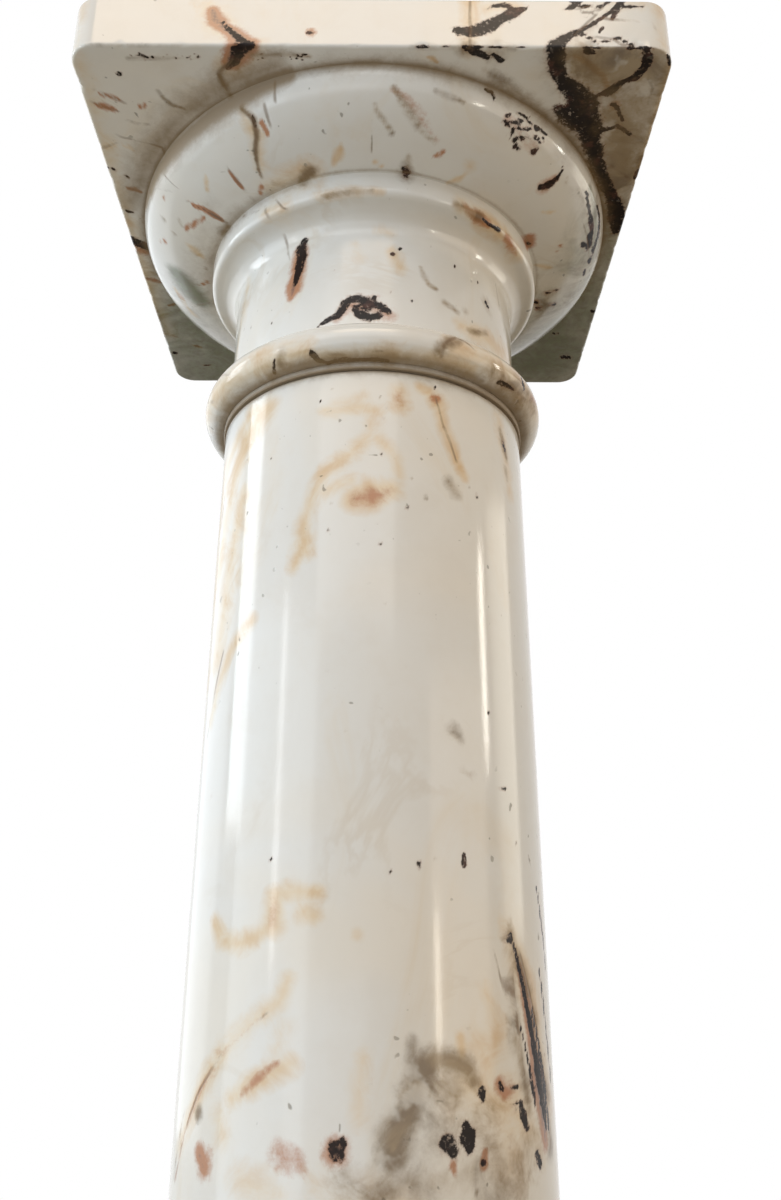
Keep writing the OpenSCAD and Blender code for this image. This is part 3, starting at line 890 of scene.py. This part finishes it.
    # the grey-olive cloud with black spots, right
    olive(1.05, (8, 576, 6), (8.5, 583, 7), (11, 590, 7), (13.5, 599, 7), (16, 607, 7), (20.5, 610, 6),
          (25, 609, 5), (29, 607, 5), (31, 602, 4))
    olive(0.8, (15, 602, 9), (21, 601, 9), (25, 597, 7))
    olive(0.45, (18, 590, 8), (24, 588, 9), (36, 580, 9), (44, 568, 9))
    olive(0.6, (13, 617, 3), (13.5, 613, 4))
    olive(1, (26, 608, 3), (29, 606, 3.4))
    olive(0.6, (-4, 566, 8), (2, 562, 9), (10, 567, 7), (20, 566, 9), (30, 570, 9))
    olive(0.5, (24, 582, 14), (34, 590, 12))
    ochre(0.7, (30, 600, 14), (44, 590, 14), (56, 580, 12))
    olive(0.5, (36, 558, 15), (50, 572, 13), (60, 588, 8))
    ochre(0.6, (34, 612, 12), (40, 596, 16), (46, 574, 14))
    ochre(0.5, (-10, 560, 12), (10, 556, 12))
    # the black spots, each with its rust
    dark(0.85, (21.5, 581, 2.2), (23, 579.5, 4.6), (24, 577, 3.4))
    rust(1, (24, 573, 2), (24.5, 570, 1.6))
    dark(1, (28.3, 586, 2.6), (28.7, 582.5, 4.4), (29.3, 578.5, 3.2))
    dark(1, (33.5, 597.5, 2.8), (34, 595.5, 1.6))
    rust(0.9, (40, 600, 3.6), (42, 597, 3))
    dark(0.8, (40, 600, 2), (41.5, 598, 1.4))
    dark(1, (48.5, 592, 2), (50, 587.5, 3.2), (51.5, 583, 2))
    dark(1, (43.5, 580.5, 1.6), (44.3, 577, 2.8), (44.8, 573, 1.8))
    dark(1, (56, 573, 1.6), (58, 568, 2.4))
    dark(1, (47, 600, 0.9), (47.2, 598, 1.1))
    rust(1, (34, 576, 1.4), (33.5, 572, 2))
    olive(0.85, (47, 620, 3), (49, 610, 3.6), (50.5, 603, 3))
    ochre(1, (27, 618, 2.4), (27.5, 612, 2.4))
    ochre(0.6, (36, 636, 5), (40, 622, 6), (38, 610, 6))
    ochre(0.85, (44, 664, 4), (50, 650, 8), (57, 632, 9), (62, 612, 9), (66, 590, 9))
    # the long dark streak on the right limb
    dark(1, (45.5, 667, 0.7), (47.5, 657, 1.1), (50, 648, 1.3), (52.3, 638, 1.5), (54.4, 628, 2.1),
         (56.3, 619, 2.6), (58.2, 610, 3.2), (60, 599, 3.8), (62, 590, 3.2), (64, 580, 1.6))
    dark(0.9, (57, 630, 0.8), (60.5, 616, 1.6), (63, 603, 2.2), (65.5, 589, 1.8), (67, 576, 1))
    dark(0.85, (50, 622, 0.7), (53, 611, 1.2), (55, 600, 1.5), (57, 589, 1))
    dark(0.8, (64, 648, 0.8), (67, 632, 1.4), (69.5, 616, 1.6), (72, 598, 1))
    rust(1.25, (51, 645, 2), (54.6, 628, 3.6), (58, 609, 5.5), (60.5, 590, 5), (63, 576, 3.4))
    olive(0.85, (45, 668, 3), (49, 652, 4.5), (54, 636, 5), (59, 616, 6), (64, 596, 6.5), (67, 574, 6))
    olive(0.8, (43.8, 656, 2.4), (46.5, 641, 3.2), (48.7, 622, 3.6), (50.5, 604, 4), (53, 588, 4))
    crack((44, 655, 0.4), (47.3, 640, 0.6), (48.7, 622, 0.6), (51, 604, 0.4))
    crack((52, 650, 0.4), (57, 633, 0.6), (61.5, 615, 0.5))
    dark(1, (65.5, 682, 0.9), (69, 670, 1.6), (72, 656, 1.6), (74, 642, 1))
    olive(0.8, (44.5, 664, 2.4), (46.5, 655, 2.6), (50, 646, 2.2))
    crack((40, 650, 0.4), (43, 636, 0.5), (44.5, 620, 0.5), (44.3, 608, 0.4))
    crack((61, 692, 0.4), (64, 680, 0.4))


def wander(source, heading, length, step, bend):
    """A wandering path from (0, 0), for a vein on a side the photograph does not show."""
    u, v = 0, 0
    path = [(u, v)]
    for _ in range(max(2, round(length / step))):
        heading += source.uniform(-bend, bend)
        u += math.cos(heading) * step
        v += math.sin(heading) * step
        path.append((u, v))
    return path


def mark_unseen(m, place, source, u_range, v_range, scale, *, sweeps, clouds, veins, cracks):
    """Marks of the same kinds, a little sparser, for the hidden sides: sweeps of ochre, olive clouds with
    black spots in them, and a few dark veins. Scale is millimetres to one unit of u."""
    dark, rust, ochre, olive, crack = m.brushes(place, "dark", "rust", "ochre", "olive", "crack")
    uniform = source.uniform
    least_side = min((u_range[1] - u_range[0]) * scale, v_range[1] - v_range[0])
    size = min(1.0, 0.35 + least_side / 220)

    def start():
        return uniform(*u_range), uniform(*v_range)

    def path_from_start(headings, lengths, step, bend):
        u, v = start()
        path = wander(source, uniform(*headings), uniform(*lengths) * size, step, bend)
        return [(u + x / scale, min(max(v + y, v_range[0]), v_range[1])) for x, y in path]

    for _ in range(sweeps):
        path = path_from_start((-2.7, -0.4), (30, 120), 9, 0.35)
        reach = uniform(3, 7) * size
        line = [(u, v, reach * uniform(0.6, 1.2)) for u, v in path]
        ochre(uniform(0.6, 0.9), *line)
        if source.random() < 0.35:
            u, v = source.choice(path)
            rust(0.75, (u, v, reach * 0.8), (u + 4 / scale, v, reach * 0.6))
        if source.random() < 0.4:
            crack(*[(u, v, 0.45) for u, v in path[: max(2, len(path) // 2)]])
    for _ in range(clouds):
        path = path_from_start((-2.7, -0.4), (30, 70), 10, 0.8)
        line = [(u, v, uniform(6, 12) * size) for u, v in path]
        olive(uniform(0.5, 0.72), *line)
        for _ in range(source.randint(2, 5)):
            u, v = source.choice(path)
            u, v = u + uniform(-14, 14) * size / scale, v + uniform(-12, 12) * size
            reach = uniform(1.6, 4) * size
            dark(0.9, (u, v + reach * 0.5, reach * 0.7), (u, v - reach * 0.5, reach))
            rust(0.6, (u, v, reach * 1.7))
    for _ in range(veins):
        path = path_from_start((-2.3, -0.8), (30, 60), 7, 0.5)
        reach = uniform(1.6, 3.2) * size
        swell = [0.4 + 0.6 * math.sin(math.pi * (i + 0.5) / len(path)) for i in range(len(path))]
        dark(1, *[(u, v, reach * share) for (u, v), share in zip(path, swell)])
        rust(0.55, *[(u, v, 1.9 * reach * share) for (u, v), share in zip(path, swell)])
    for _ in range(cracks):
        crack(*[(u, v, 0.5) for u, v in path_from_start((-2.4, -0.7), (20, 60), 7, 0.5)])
    for _ in range(2 * (clouds + veins)):
        olive(0.8, (*start(), uniform(1, 2)))


# ---------------------------------------------------------------- node trees

class Tree:
    """A short way to write the nodes of a material or a world."""

    def __init__(self, owner):
        owner.use_nodes = True
        self.tree = owner.node_tree
        self.tree.nodes.clear()

    def fill(self, socket, value):
        if isinstance(value, bpy.types.NodeSocket):
            self.tree.links.new(value, socket)
        else:
            socket.default_value = value

    def add(self, kind, inputs=None, **settings):
        node = self.tree.nodes.new(kind)
        for key, value in settings.items():
            setattr(node, key, value)
        for key, value in (inputs or {}).items():
            self.fill(node.inputs[key], value)
        return node

    def math(self, operation, first, *others):
        """One operation over all the values, from left to right."""
        made = first
        for value in others or (0.0,):
            made = self.add("ShaderNodeMath", {0: made, 1: value}, operation=operation).outputs[0]
        return made

    times = partialmethod(math, "MULTIPLY")
    plus = partialmethod(math, "ADD")
    minus = partialmethod(math, "SUBTRACT")
    largest = partialmethod(math, "MAXIMUM")
    absolute = partialmethod(math, "ABSOLUTE")

    def vector(self, operation, a, b):
        return self.add("ShaderNodeVectorMath", {0: a, 1: b}, operation=operation).outputs[0]

    def noise(self, place, scale, detail=3.0, rough=0.5, warp=0.0):
        settings = {"Scale": scale, "Detail": detail, "Roughness": rough, "Distortion": warp}
        return self.add("ShaderNodeTexNoise", {"Vector": place, **settings}).outputs["Fac"]

    def step(self, value, low, high):
        """0 below low and 1 above high, smooth between. With low above high it falls instead."""
        ends = {"Value": value, "From Min": low, "From Max": high}
        return self.add("ShaderNodeMapRange", ends, interpolation_type="SMOOTHSTEP").outputs[0]

    def mix(self, share, a, b):
        """A mix of two colours, each a socket or an (r, g, b)."""
        node = self.add("ShaderNodeMix", data_type="RGBA")
        self.fill(next(s for s in node.inputs if s.name == "Factor" and s.type == "VALUE"), share)
        for name, colour in (("A", a), ("B", b)):
            socket = next(s for s in node.inputs if s.name == name and s.type == "RGBA")
            self.fill(socket, colour if isinstance(colour, bpy.types.NodeSocket) else (*colour, 1.0))
        return next(s for s in node.outputs if s.type == "RGBA")

    def blend(self, share, a, b):
        """A mix of two shaders."""
        return self.add("ShaderNodeMixShader", {0: share, 1: a.outputs[0], 2: b.outputs[0]})

    def finish(self, kind, shader):
        self.add(kind, {0: shader.outputs[0]})


# ---------------------------------------------------------------- the marble

COOL_STONE, WARM_STONE = (0.80, 0.793, 0.765), (0.82, 0.778, 0.705)
CREAM_MOTTLE = (0.75, 0.71, 0.645)
HONEY_CLOUD = (0.72, 0.58, 0.38)
FAINT_VEIN = (0.56, 0.45, 0.31)
PALE_OCHRE, DEEP_OCHRE = (0.78, 0.60, 0.36), (0.67, 0.43, 0.18)
PALE_RUST, DEEP_RUST = (0.46, 0.19, 0.078), (0.15, 0.058, 0.034)
# moss, and painted shade on the back corners of the slab's underside
GREEN_MOSS_AND_SHADE, BROWN_MOSS_AND_SHADE = (0.135, 0.165, 0.075), (0.13, 0.13, 0.075)
PALE_OLIVE, DEEP_OLIVE = (0.36, 0.26, 0.145), (0.19, 0.128, 0.070)
VEIN_HALO = (0.36, 0.205, 0.13)
BLACK_VEIN, PURPLE_VEIN = (0.011, 0.009, 0.010), (0.085, 0.038, 0.030)
CRACK_BROWN = (0.19, 0.12, 0.07)
SPECK_GREY = (0.16, 0.135, 0.10)
# dirt, and painted shade in creases and under things
DIRT_AND_SHADE_BROWN = (0.27, 0.185, 0.095)


class Marble(Tree):
    """Polished marble for one piece: the bare stone, over it the marks and painted shade that the mesh
    carries, from the softest to the sharpest, and then the polish and its relief."""

    def __init__(self, name, seed):
        self.material = bpy.data.materials.new(name)
        super().__init__(self.material)
        object_place = self.add("ShaderNodeTexCoord").outputs["Object"]
        self.place = self.vector("ADD", object_place, (seed * 1.7, seed * 0.9, seed * 2.3))
        # three noises about zero, from the widest to the finest, that roughen the marks
        self.drift = self.minus(self.noise(self.place, 42.0, 4.0, 0.6, 0.8), 0.5)
        self.wobble = self.minus(self.noise(self.place, 190.0, 5.0, 0.66, 0.6), 0.5)
        self.grain = self.minus(self.noise(self.place, 620.0, 3.0, 0.7), 0.5)
        self.mottle = self.noise(self.place, 48.0, 5.0, 0.6)
        self.bare_stone()
        self.soft_marks()
        self.dark_veins()
        self.cracks()
        self.specks()
        self.dirt_and_shade_places()
        self.polish()

    def kept(self, mark):
        """A mark's value, as the mesh carries it."""
        return self.add("ShaderNodeAttribute", attribute_type="GEOMETRY", attribute_name=mark).outputs["Fac"]

    def shaken(self, mark, soft, coarse, fine):
        """A mark's value, roughened by the three noises where there is a mark at all."""
        value = self.kept(mark)
        shakes = (self.drift, soft), (self.wobble, coarse), (self.grain, fine)
        shake = self.plus(*[self.times(part, share) for part, share in shakes])
        return self.plus(value, self.times(shake, self.step(value, 0.0, 0.18)))

    def lay(self, share, colour):
        self.colour = self.mix(share, self.colour, colour)

    def bare_stone(self):
        wide_cloud = self.noise(self.place, 7.0, 3.0, 0.55, 0.8)
        self.colour = self.mix(self.step(wide_cloud, 0.36, 0.64), COOL_STONE, WARM_STONE)
        self.lay(self.times(self.step(self.mottle, 0.42, 0.72), 0.26), CREAM_MOTTLE)
        tall = self.vector("MULTIPLY", self.place, (1.0, 1.0, 0.45))
        cloud = self.noise(tall, 15.0, 5.0, 0.62, 1.2)
        self.lay(self.times(self.step(cloud, 0.54, 0.80), 0.36), HONEY_CLOUD)
        ridge = self.absolute(self.minus(self.noise(self.place, 9.0, 5.0, 0.62, 1.4), 0.5))
        where = self.step(self.noise(self.place, 11.0, 2.0), 0.52, 0.66)
        self.lay(self.times(self.step(ridge, 0.045, 0.0), where, 0.22), FAINT_VEIN)

    def soft_marks(self):
        ochre = self.step(self.shaken("ochre", 1.15, 0.26, 0.08), 0.06, 0.95)
        tawny = self.mix(self.step(self.drift, -0.12, 0.16), PALE_OCHRE, DEEP_OCHRE)
        self.lay(self.times(ochre, 0.74), tawny)
        rust = self.shaken("rust", 1.0, 0.55, 0.25)
        rusty = self.mix(self.step(rust, 0.75, 1.15), PALE_RUST, DEEP_RUST)
        self.lay(self.times(self.step(rust, 0.05, 0.66), 0.88), rusty)
        # moss patches, and painted shade where the slab's underside darkens towards its back corners
        moss_and_shade = self.step(self.shaken("moss_and_shade", 0.8, 0.3, 0.1), 0.06, 1.0)
        moss_and_shade_tone = self.mix(self.step(self.wobble, -0.1, 0.1), GREEN_MOSS_AND_SHADE, BROWN_MOSS_AND_SHADE)
        self.lay(self.times(moss_and_shade, 0.80), moss_and_shade_tone)
        veil = self.step(self.noise(self.place, 80.0, 3.0, 0.5), 0.52, 0.66)
        olive = self.step(self.shaken("olive", 1.2, 0.42, 0.16), 0.10, 0.95)
        self.olive = self.times(olive, 0.84, self.minus(1.0, self.times(veil, 0.5)))
        self.lay(self.olive, self.mix(self.step(self.drift, -0.10, 0.12), PALE_OLIVE, DEEP_OLIVE))

    def dark_veins(self):
        """Black and purple cores with brown halos. Small gaps open in a core towards its edge."""
        dark = self.shaken("dark", 0.6, 0.9, 0.32)
        self.lay(self.times(self.step(dark, 0.02, 0.45), 0.45), VEIN_HALO)
        tone = self.step(self.noise(self.place, 90.0, 4.0, 0.6), 0.53, 0.70)
        spots = self.step(self.noise(self.place, 520.0, 2.0, 0.6), 0.56, 0.68)
        gaps = self.times(spots, self.step(self.kept("dark"), 0.95, 0.35), 0.7)
        self.core = self.times(self.step(dark, 0.24, 0.44), 0.96, self.minus(1.0, gaps))
        self.lay(self.core, self.mix(tone, BLACK_VEIN, PURPLE_VEIN))

    def cracks(self):
        """Thin threads that waver about their lines, and come and go along them."""
        sideways = self.absolute(self.plus(self.kept("crack"), self.times(self.drift, 5.0)))
        thread = self.step(self.plus(sideways, self.times(self.wobble, 2.0)), 2.4, 0.5)
        shows = self.step(self.plus(self.kept("crack_shows"), self.times(self.wobble, 0.9)), 0.30, 0.85)
        self.thread = self.times(thread, shows, self.step(self.drift, -0.12, 0.10))
        self.lay(self.times(self.thread, 0.66), CRACK_BROWN)

    def specks(self):
        where = self.step(self.noise(self.place, 13.0, 1.0), 0.50, 0.60)
        self.speck = self.times(self.step(self.noise(self.place, 300.0, 0.0), 0.80, 0.86), where)
        self.lay(self.times(self.speck, 0.6), SPECK_GREY)

    def dirt_and_shade_places(self):
        # dirt and painted shade: brown in the creases where parts meet, under the bead and where the slab
        # overhangs the echinus
        self.dirt_and_shade = self.step(self.shaken("dirt_and_shade", 0.6, 0.35, 0.12), 0.12, 0.95)
        self.lay(self.times(self.dirt_and_shade, 0.85), DIRT_AND_SHADE_BROWN)

    def polish(self):
        """How rough the surface is, how much it mirrors, and its relief, all from the layers below."""
        streaky = self.vector("MULTIPLY", self.place, (1.0, 1.0, 0.04))
        streaks = self.step(self.noise(streaky, 90.0, 3.0, 0.6), 0.45, 0.75)
        open_places = self.largest(self.speck, self.thread)
        rough = self.plus(
            0.07,
            self.times(self.noise(self.place, 32.0, 4.0, 0.6), 0.08),
            self.times(self.dirt_and_shade, 0.35),
            self.times(open_places, 0.3),
            self.times(streaks, 0.05),
        )
        shine = self.minus(0.38, self.times(self.largest(self.core, self.olive), 0.30))
        height = self.minus(
            self.plus(self.times(self.mottle, 0.10), self.times(self.grain, 0.16)),
            self.times(self.speck, 0.9),
            self.times(self.thread, 0.7),
            self.times(self.core, 0.25),
        )
        bump = self.add("ShaderNodeBump", {"Height": height, "Strength": 0.35, "Distance": 0.0005}).outputs[0]
        shader = self.add(
            "ShaderNodeBsdfPrincipled",
            {"Base Color": self.colour, "Roughness": rough, "Specular IOR Level": shine, "Normal": bump},
        )
        self.finish("ShaderNodeOutputMaterial", shader)


# ---------------------------------------------------------------- pieces

def link(name, data):
    made = bpy.data.objects.new(name, data)
    bpy.context.scene.collection.objects.link(made)
    return made


def piece(mesh, node, seed):
    """A finished piece in metres, which replaces its CAD node."""
    mesh.transform(Matrix.Scale(MM, 4))
    mesh.shade_smooth()
    mesh.set_sharp_from_angle(angle=math.radians(38))
    mesh.materials.append(Marble(f"{node} marble", seed).material)
    made = link(mesh.name, mesh)
    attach(made, "root")
    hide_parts(node)


def capital_chips(source):
    """Chips along the slab's arrises: listed ones at the lower front, seeded ones at the sides and back."""
    chips = []
    for x, reach, depth in ((25, 2.6, 0.6), (49, 3.4, 0.8), (61, 2.4, 0.5), (74, 2.0, 0.4), (108, 3.0, 0.7),
                            (131, 3.6, 0.9), (-8, 1.8, 0.4), (-43, 2.2, 0.5), (-65, 3.0, 0.7),
                            (-93, 2.0, 0.4), (-123, 2.4, 0.6)):
        chips.append((on_slab_front(x, 0), reach, depth))
    for _ in range(26):
        x = source.choice((-1, 1)) * SLAB_HALF
        at_side = (x, source.uniform(-130, 130), SLAB_Z)
        chips.append((at_side, source.uniform(1.5, 3.6), source.uniform(0.3, 0.8)))
        at_back = (source.uniform(-130, 130), SLAB_HALF, source.choice((SLAB_Z, COLUMN_H)))
        chips.append((at_back, source.uniform(2, 4), source.uniform(0.3, 0.8)))
    return chips


def plinth_chips(source):
    """Seeded chips along the plinth's arrises, more at the top than at the floor."""
    chips = []
    for _ in range(40):
        side = on_side(PLINTH_HALF, source.choice((0, 90, 180, 270)))
        point = side(source.uniform(-132, 132), source.choice((0, PLINTH_T, PLINTH_T)))
        chips.append((point, source.uniform(2.4, 5), source.uniform(0.4, 1.1)))
    return chips


def make_capital():
    mesh = capital_mesh()
    m = Marks(mesh)
    mark_slab_front(m)
    mark_under_slab(m)
    mark_echinus(m)
    mark_band(m)
    mark_neck(m)
    mark_astragal(m)
    source = random.Random(11)
    mark_unseen(m, on_neck, source, (95, 265), (955, 1010), 1.4, sweeps=4, clouds=2, veins=2, cracks=3)
    mark_unseen(m, on_echinus, source, (100, 262), (8, 54), 2.2, sweeps=6, clouds=2, veins=2, cracks=5)
    for side in (90, 180, 270):
        mark_unseen(m, on_side(SLAB_HALF, side), source, (-135, 135), (1071, 1097), 1.0,
                    sweeps=4, clouds=2, veins=2, cracks=3)
    mark_unseen(m, on_slab_top, source, (-140, 140), (-140, 140), 1.0,
                sweeps=7, clouds=3, veins=3, cracks=5)
    # dirt and painted shade in the creases: where the slab meets the echinus, at the band, at the neck's
    # foot, under the bead and at the joint
    m.crease(ECHINUS_R, SLAB_Z, 5.0, 0.95)
    m.crease(CREASE_R, CREASE_Z, 1.1, 0.55)
    m.crease(NECK_R, ASTRAGAL_Z + 10, 1.2, 0.45)
    m.crease(ASTRAGAL_CENTRE_R + 1, LIP_Z, 6.0, 0.95)
    m.crease(LIP_R, JOINT_Z, 2.6, 1.15)
    m.keep()
    wear(mesh, capital_chips(random.Random(12)), 0.10, 1)
    piece(mesh, "capital", 1)


def make_shaft():
    mesh = shaft_mesh()
    m = Marks(mesh)
    mark_shaft_front(m)
    source = random.Random(21)
    mark_unseen(m, on_shaft, source, (92, 268), (140, 905), 1.5, sweeps=20, clouds=6, veins=4, cracks=8)
    mark_unseen(m, on_shaft, source, (-88, 88), (135, 540), 1.5, sweeps=11, clouds=4, veins=2, cracks=4)
    # dirt and painted shade at the joint and at the foot
    m.crease(SHAFT_TOP_R, JOINT_Z, 3.4, 1.1)
    m.crease(SHAFT_FOOT_R, FOOT_Z, 2.2, 0.9)
    m.keep()
    wear(mesh, [], 0.14, 2)
    piece(mesh, "shaft", 2)


def make_base():
    mesh = base_mesh()
    m = Marks(mesh)
    source = random.Random(31)
    mark_unseen(m, on_torus, source, (0, 360), (-50, 80), 2.3, sweeps=9, clouds=3, veins=2, cracks=5)
    for side in (0, 90, 180, 270):
        place = on_side(PLINTH_HALF, side)
        mark_unseen(m, place, source, (-135, 135), (4, PLINTH_T - 3), 1.0,
                    sweeps=4, clouds=1, veins=1, cracks=2)
    # dirt and painted shade where the plinth, torus, band and collar meet
    m.crease(TORUS_CENTRE_R, PLINTH_T, 5.0, 0.9)
    m.crease(BASE_BAND_R, TORUS_TOP_Z, 2.4, 1.0)
    m.crease(COLLAR_R, FOOT_Z, 2.2, 1.0)
    m.keep()
    wear(mesh, plinth_chips(source), 0.12, 3)
    piece(mesh, "base", 3)


# ---------------------------------------------------------------- floor, lamps, world and camera

BOUNCE_LOW, BOUNCE_HIGH = (0.40, 0.345, 0.26), (0.43, 0.375, 0.29)
FLOOR_LOW, FLOOR_HIGH = (0.84, 0.82, 0.79), (0.88, 0.86, 0.83)


def floor_material():
    """A pale floor. It throws a warmer, dimmer light than the camera sees, and fades out far away: near the
    column for the camera, and further out for the light."""
    material = bpy.data.materials.new("pale floor")
    t = Tree(material)
    place = t.add("ShaderNodeTexCoord").outputs["Object"]
    away = t.add("ShaderNodeVectorMath", {0: place}, operation="LENGTH").outputs["Value"]
    seen = t.add("ShaderNodeLightPath").outputs["Is Camera Ray"]
    bounced = t.mix(t.noise(place, 3.0), BOUNCE_LOW, BOUNCE_HIGH)
    pale = t.mix(t.noise(place, 3.0), FLOOR_LOW, FLOOR_HIGH)
    diffuse = t.add("ShaderNodeBsdfDiffuse", {"Color": t.mix(seen, bounced, pale)})
    near_end = t.times(t.step(away, 0.45, 1.5), seen)
    far_end = t.times(t.step(away, 2.3, 3.1), t.minus(1.0, seen))
    clear = t.add("ShaderNodeBsdfTransparent")
    t.finish("ShaderNodeOutputMaterial", t.blend(t.plus(near_end, far_end), diffuse, clear))
    return material


def floor():
    half = 3.2
    mesh = bpy.data.meshes.new("floor")
    corners = [(-half, -half, 0), (half, -half, 0), (half, half, 0), (-half, half, 0)]
    mesh.from_pydata(corners, [], [(0, 1, 2, 3)])
    mesh.materials.append(floor_material())
    link("floor", mesh)


def world():
    """White where it is seen or mirrored, and a faint cool light on everything."""
    studio = bpy.data.worlds.new("studio")
    bpy.context.scene.world = studio
    t = Tree(studio)
    rays = t.add("ShaderNodeLightPath").outputs
    seen = t.largest(rays["Is Camera Ray"], rays["Is Glossy Ray"], rays["Is Transmission Ray"])
    soft = t.add("ShaderNodeBackground", {"Color": (0.95, 0.97, 1.0, 1), "Strength": 0.03})
    white = t.add("ShaderNodeBackground", {"Color": (1, 1, 1, 1), "Strength": 1.0})
    t.finish("ShaderNodeOutputWorld", t.blend(seen, soft, white))


def lamp(name, azimuth, distance, z, width, height, power, colour, aim_z):
    """A soft box. Azimuth 0 is in front of the column, and 90 on its right. Distances are in millimetres."""
    light = bpy.data.lights.new(name, "AREA")
    light.shape = "RECTANGLE"
    light.size, light.size_y = width * MM, height * MM
    light.energy, light.color = power, colour
    made = link(name, light)
    made.location = Vector(turned(azimuth, distance, z)) * MM
    aim = Vector((0, 0, aim_z)) * MM - made.location
    made.rotation_euler = aim.to_track_quat("-Z", "Y").to_euler()


def lamps():
    """The lamps of the studio: a window on the left, boxes above the camera, and strips at the sides. After
    the name come azimuth, distance, height, the box's width and height, power, colour and aim."""
    lamp("window", -94, 1800, 1490, 460, 1040, 8.5, (0.88, 0.945, 1.0), 950)
    lamp("window_back", -128, 1800, 1100, 1300, 1500, 6.0, (0.88, 0.94, 1.0), 850)
    lamp("left_fill", -62, 1900, 780, 2000, 1500, 18.5, (0.78, 0.90, 1.0), 700)
    lamp("front_low", -22, 1900, 380, 1700, 600, 3.0, (0.95, 0.97, 1.0), 650)
    lamp("left_strip", -58, 1900, 1100, 90, 800, 1.6, (0.95, 0.98, 1.0), 850)
    lamp("front_high", -10, 2000, 2000, 2100, 900, 11.0, (1.0, 1.0, 1.0), 1000)
    lamp("front_top", -5, 1500, 2700, 1300, 800, 15.0, (1.0, 0.79, 0.57), 1000)
    lamp("right_strip", 43, 1900, 640, 80, 330, 1.45, (1.0, 0.93, 0.80), 800)
    lamp("right_fill", 60, 1900, 900, 1400, 900, 6.6, (1.0, 0.84, 0.66), 800)
    lamp("right", 83, 1900, 1385, 110, 480, 3.2, (1.0, 0.95, 0.84), 900)
    lamp("right_back", 104, 1900, 1250, 700, 1000, 5.5, (1.0, 0.94, 0.80), 900)


def camera():
    """The camera looks up at the capital from just in front of the column, below the slab."""
    data = bpy.data.cameras.new("camera")
    data.sensor_width = 36.0
    data.lens = 31.15
    data.clip_start = 0.02
    made = link("camera", data)
    made.location = Vector((8.7, -530.3, 635.85)) * MM
    pitch, yaw, roll = (math.radians(angle) for angle in (20.592, 0.213, -0.185))
    turns = (-yaw, "Z"), (math.pi / 2 + pitch, "X"), (-roll, "Z")
    about_z, up, about_view = (Matrix.Rotation(angle, 4, axis) for angle, axis in turns)
    made.rotation_euler = (about_z @ up @ about_view).to_euler()
    bpy.context.scene.camera = made


make_capital()
make_shaft()
make_base()
floor()
world()
lamps()
camera()
bpy.context.scene.view_settings.view_transform = "Standard"
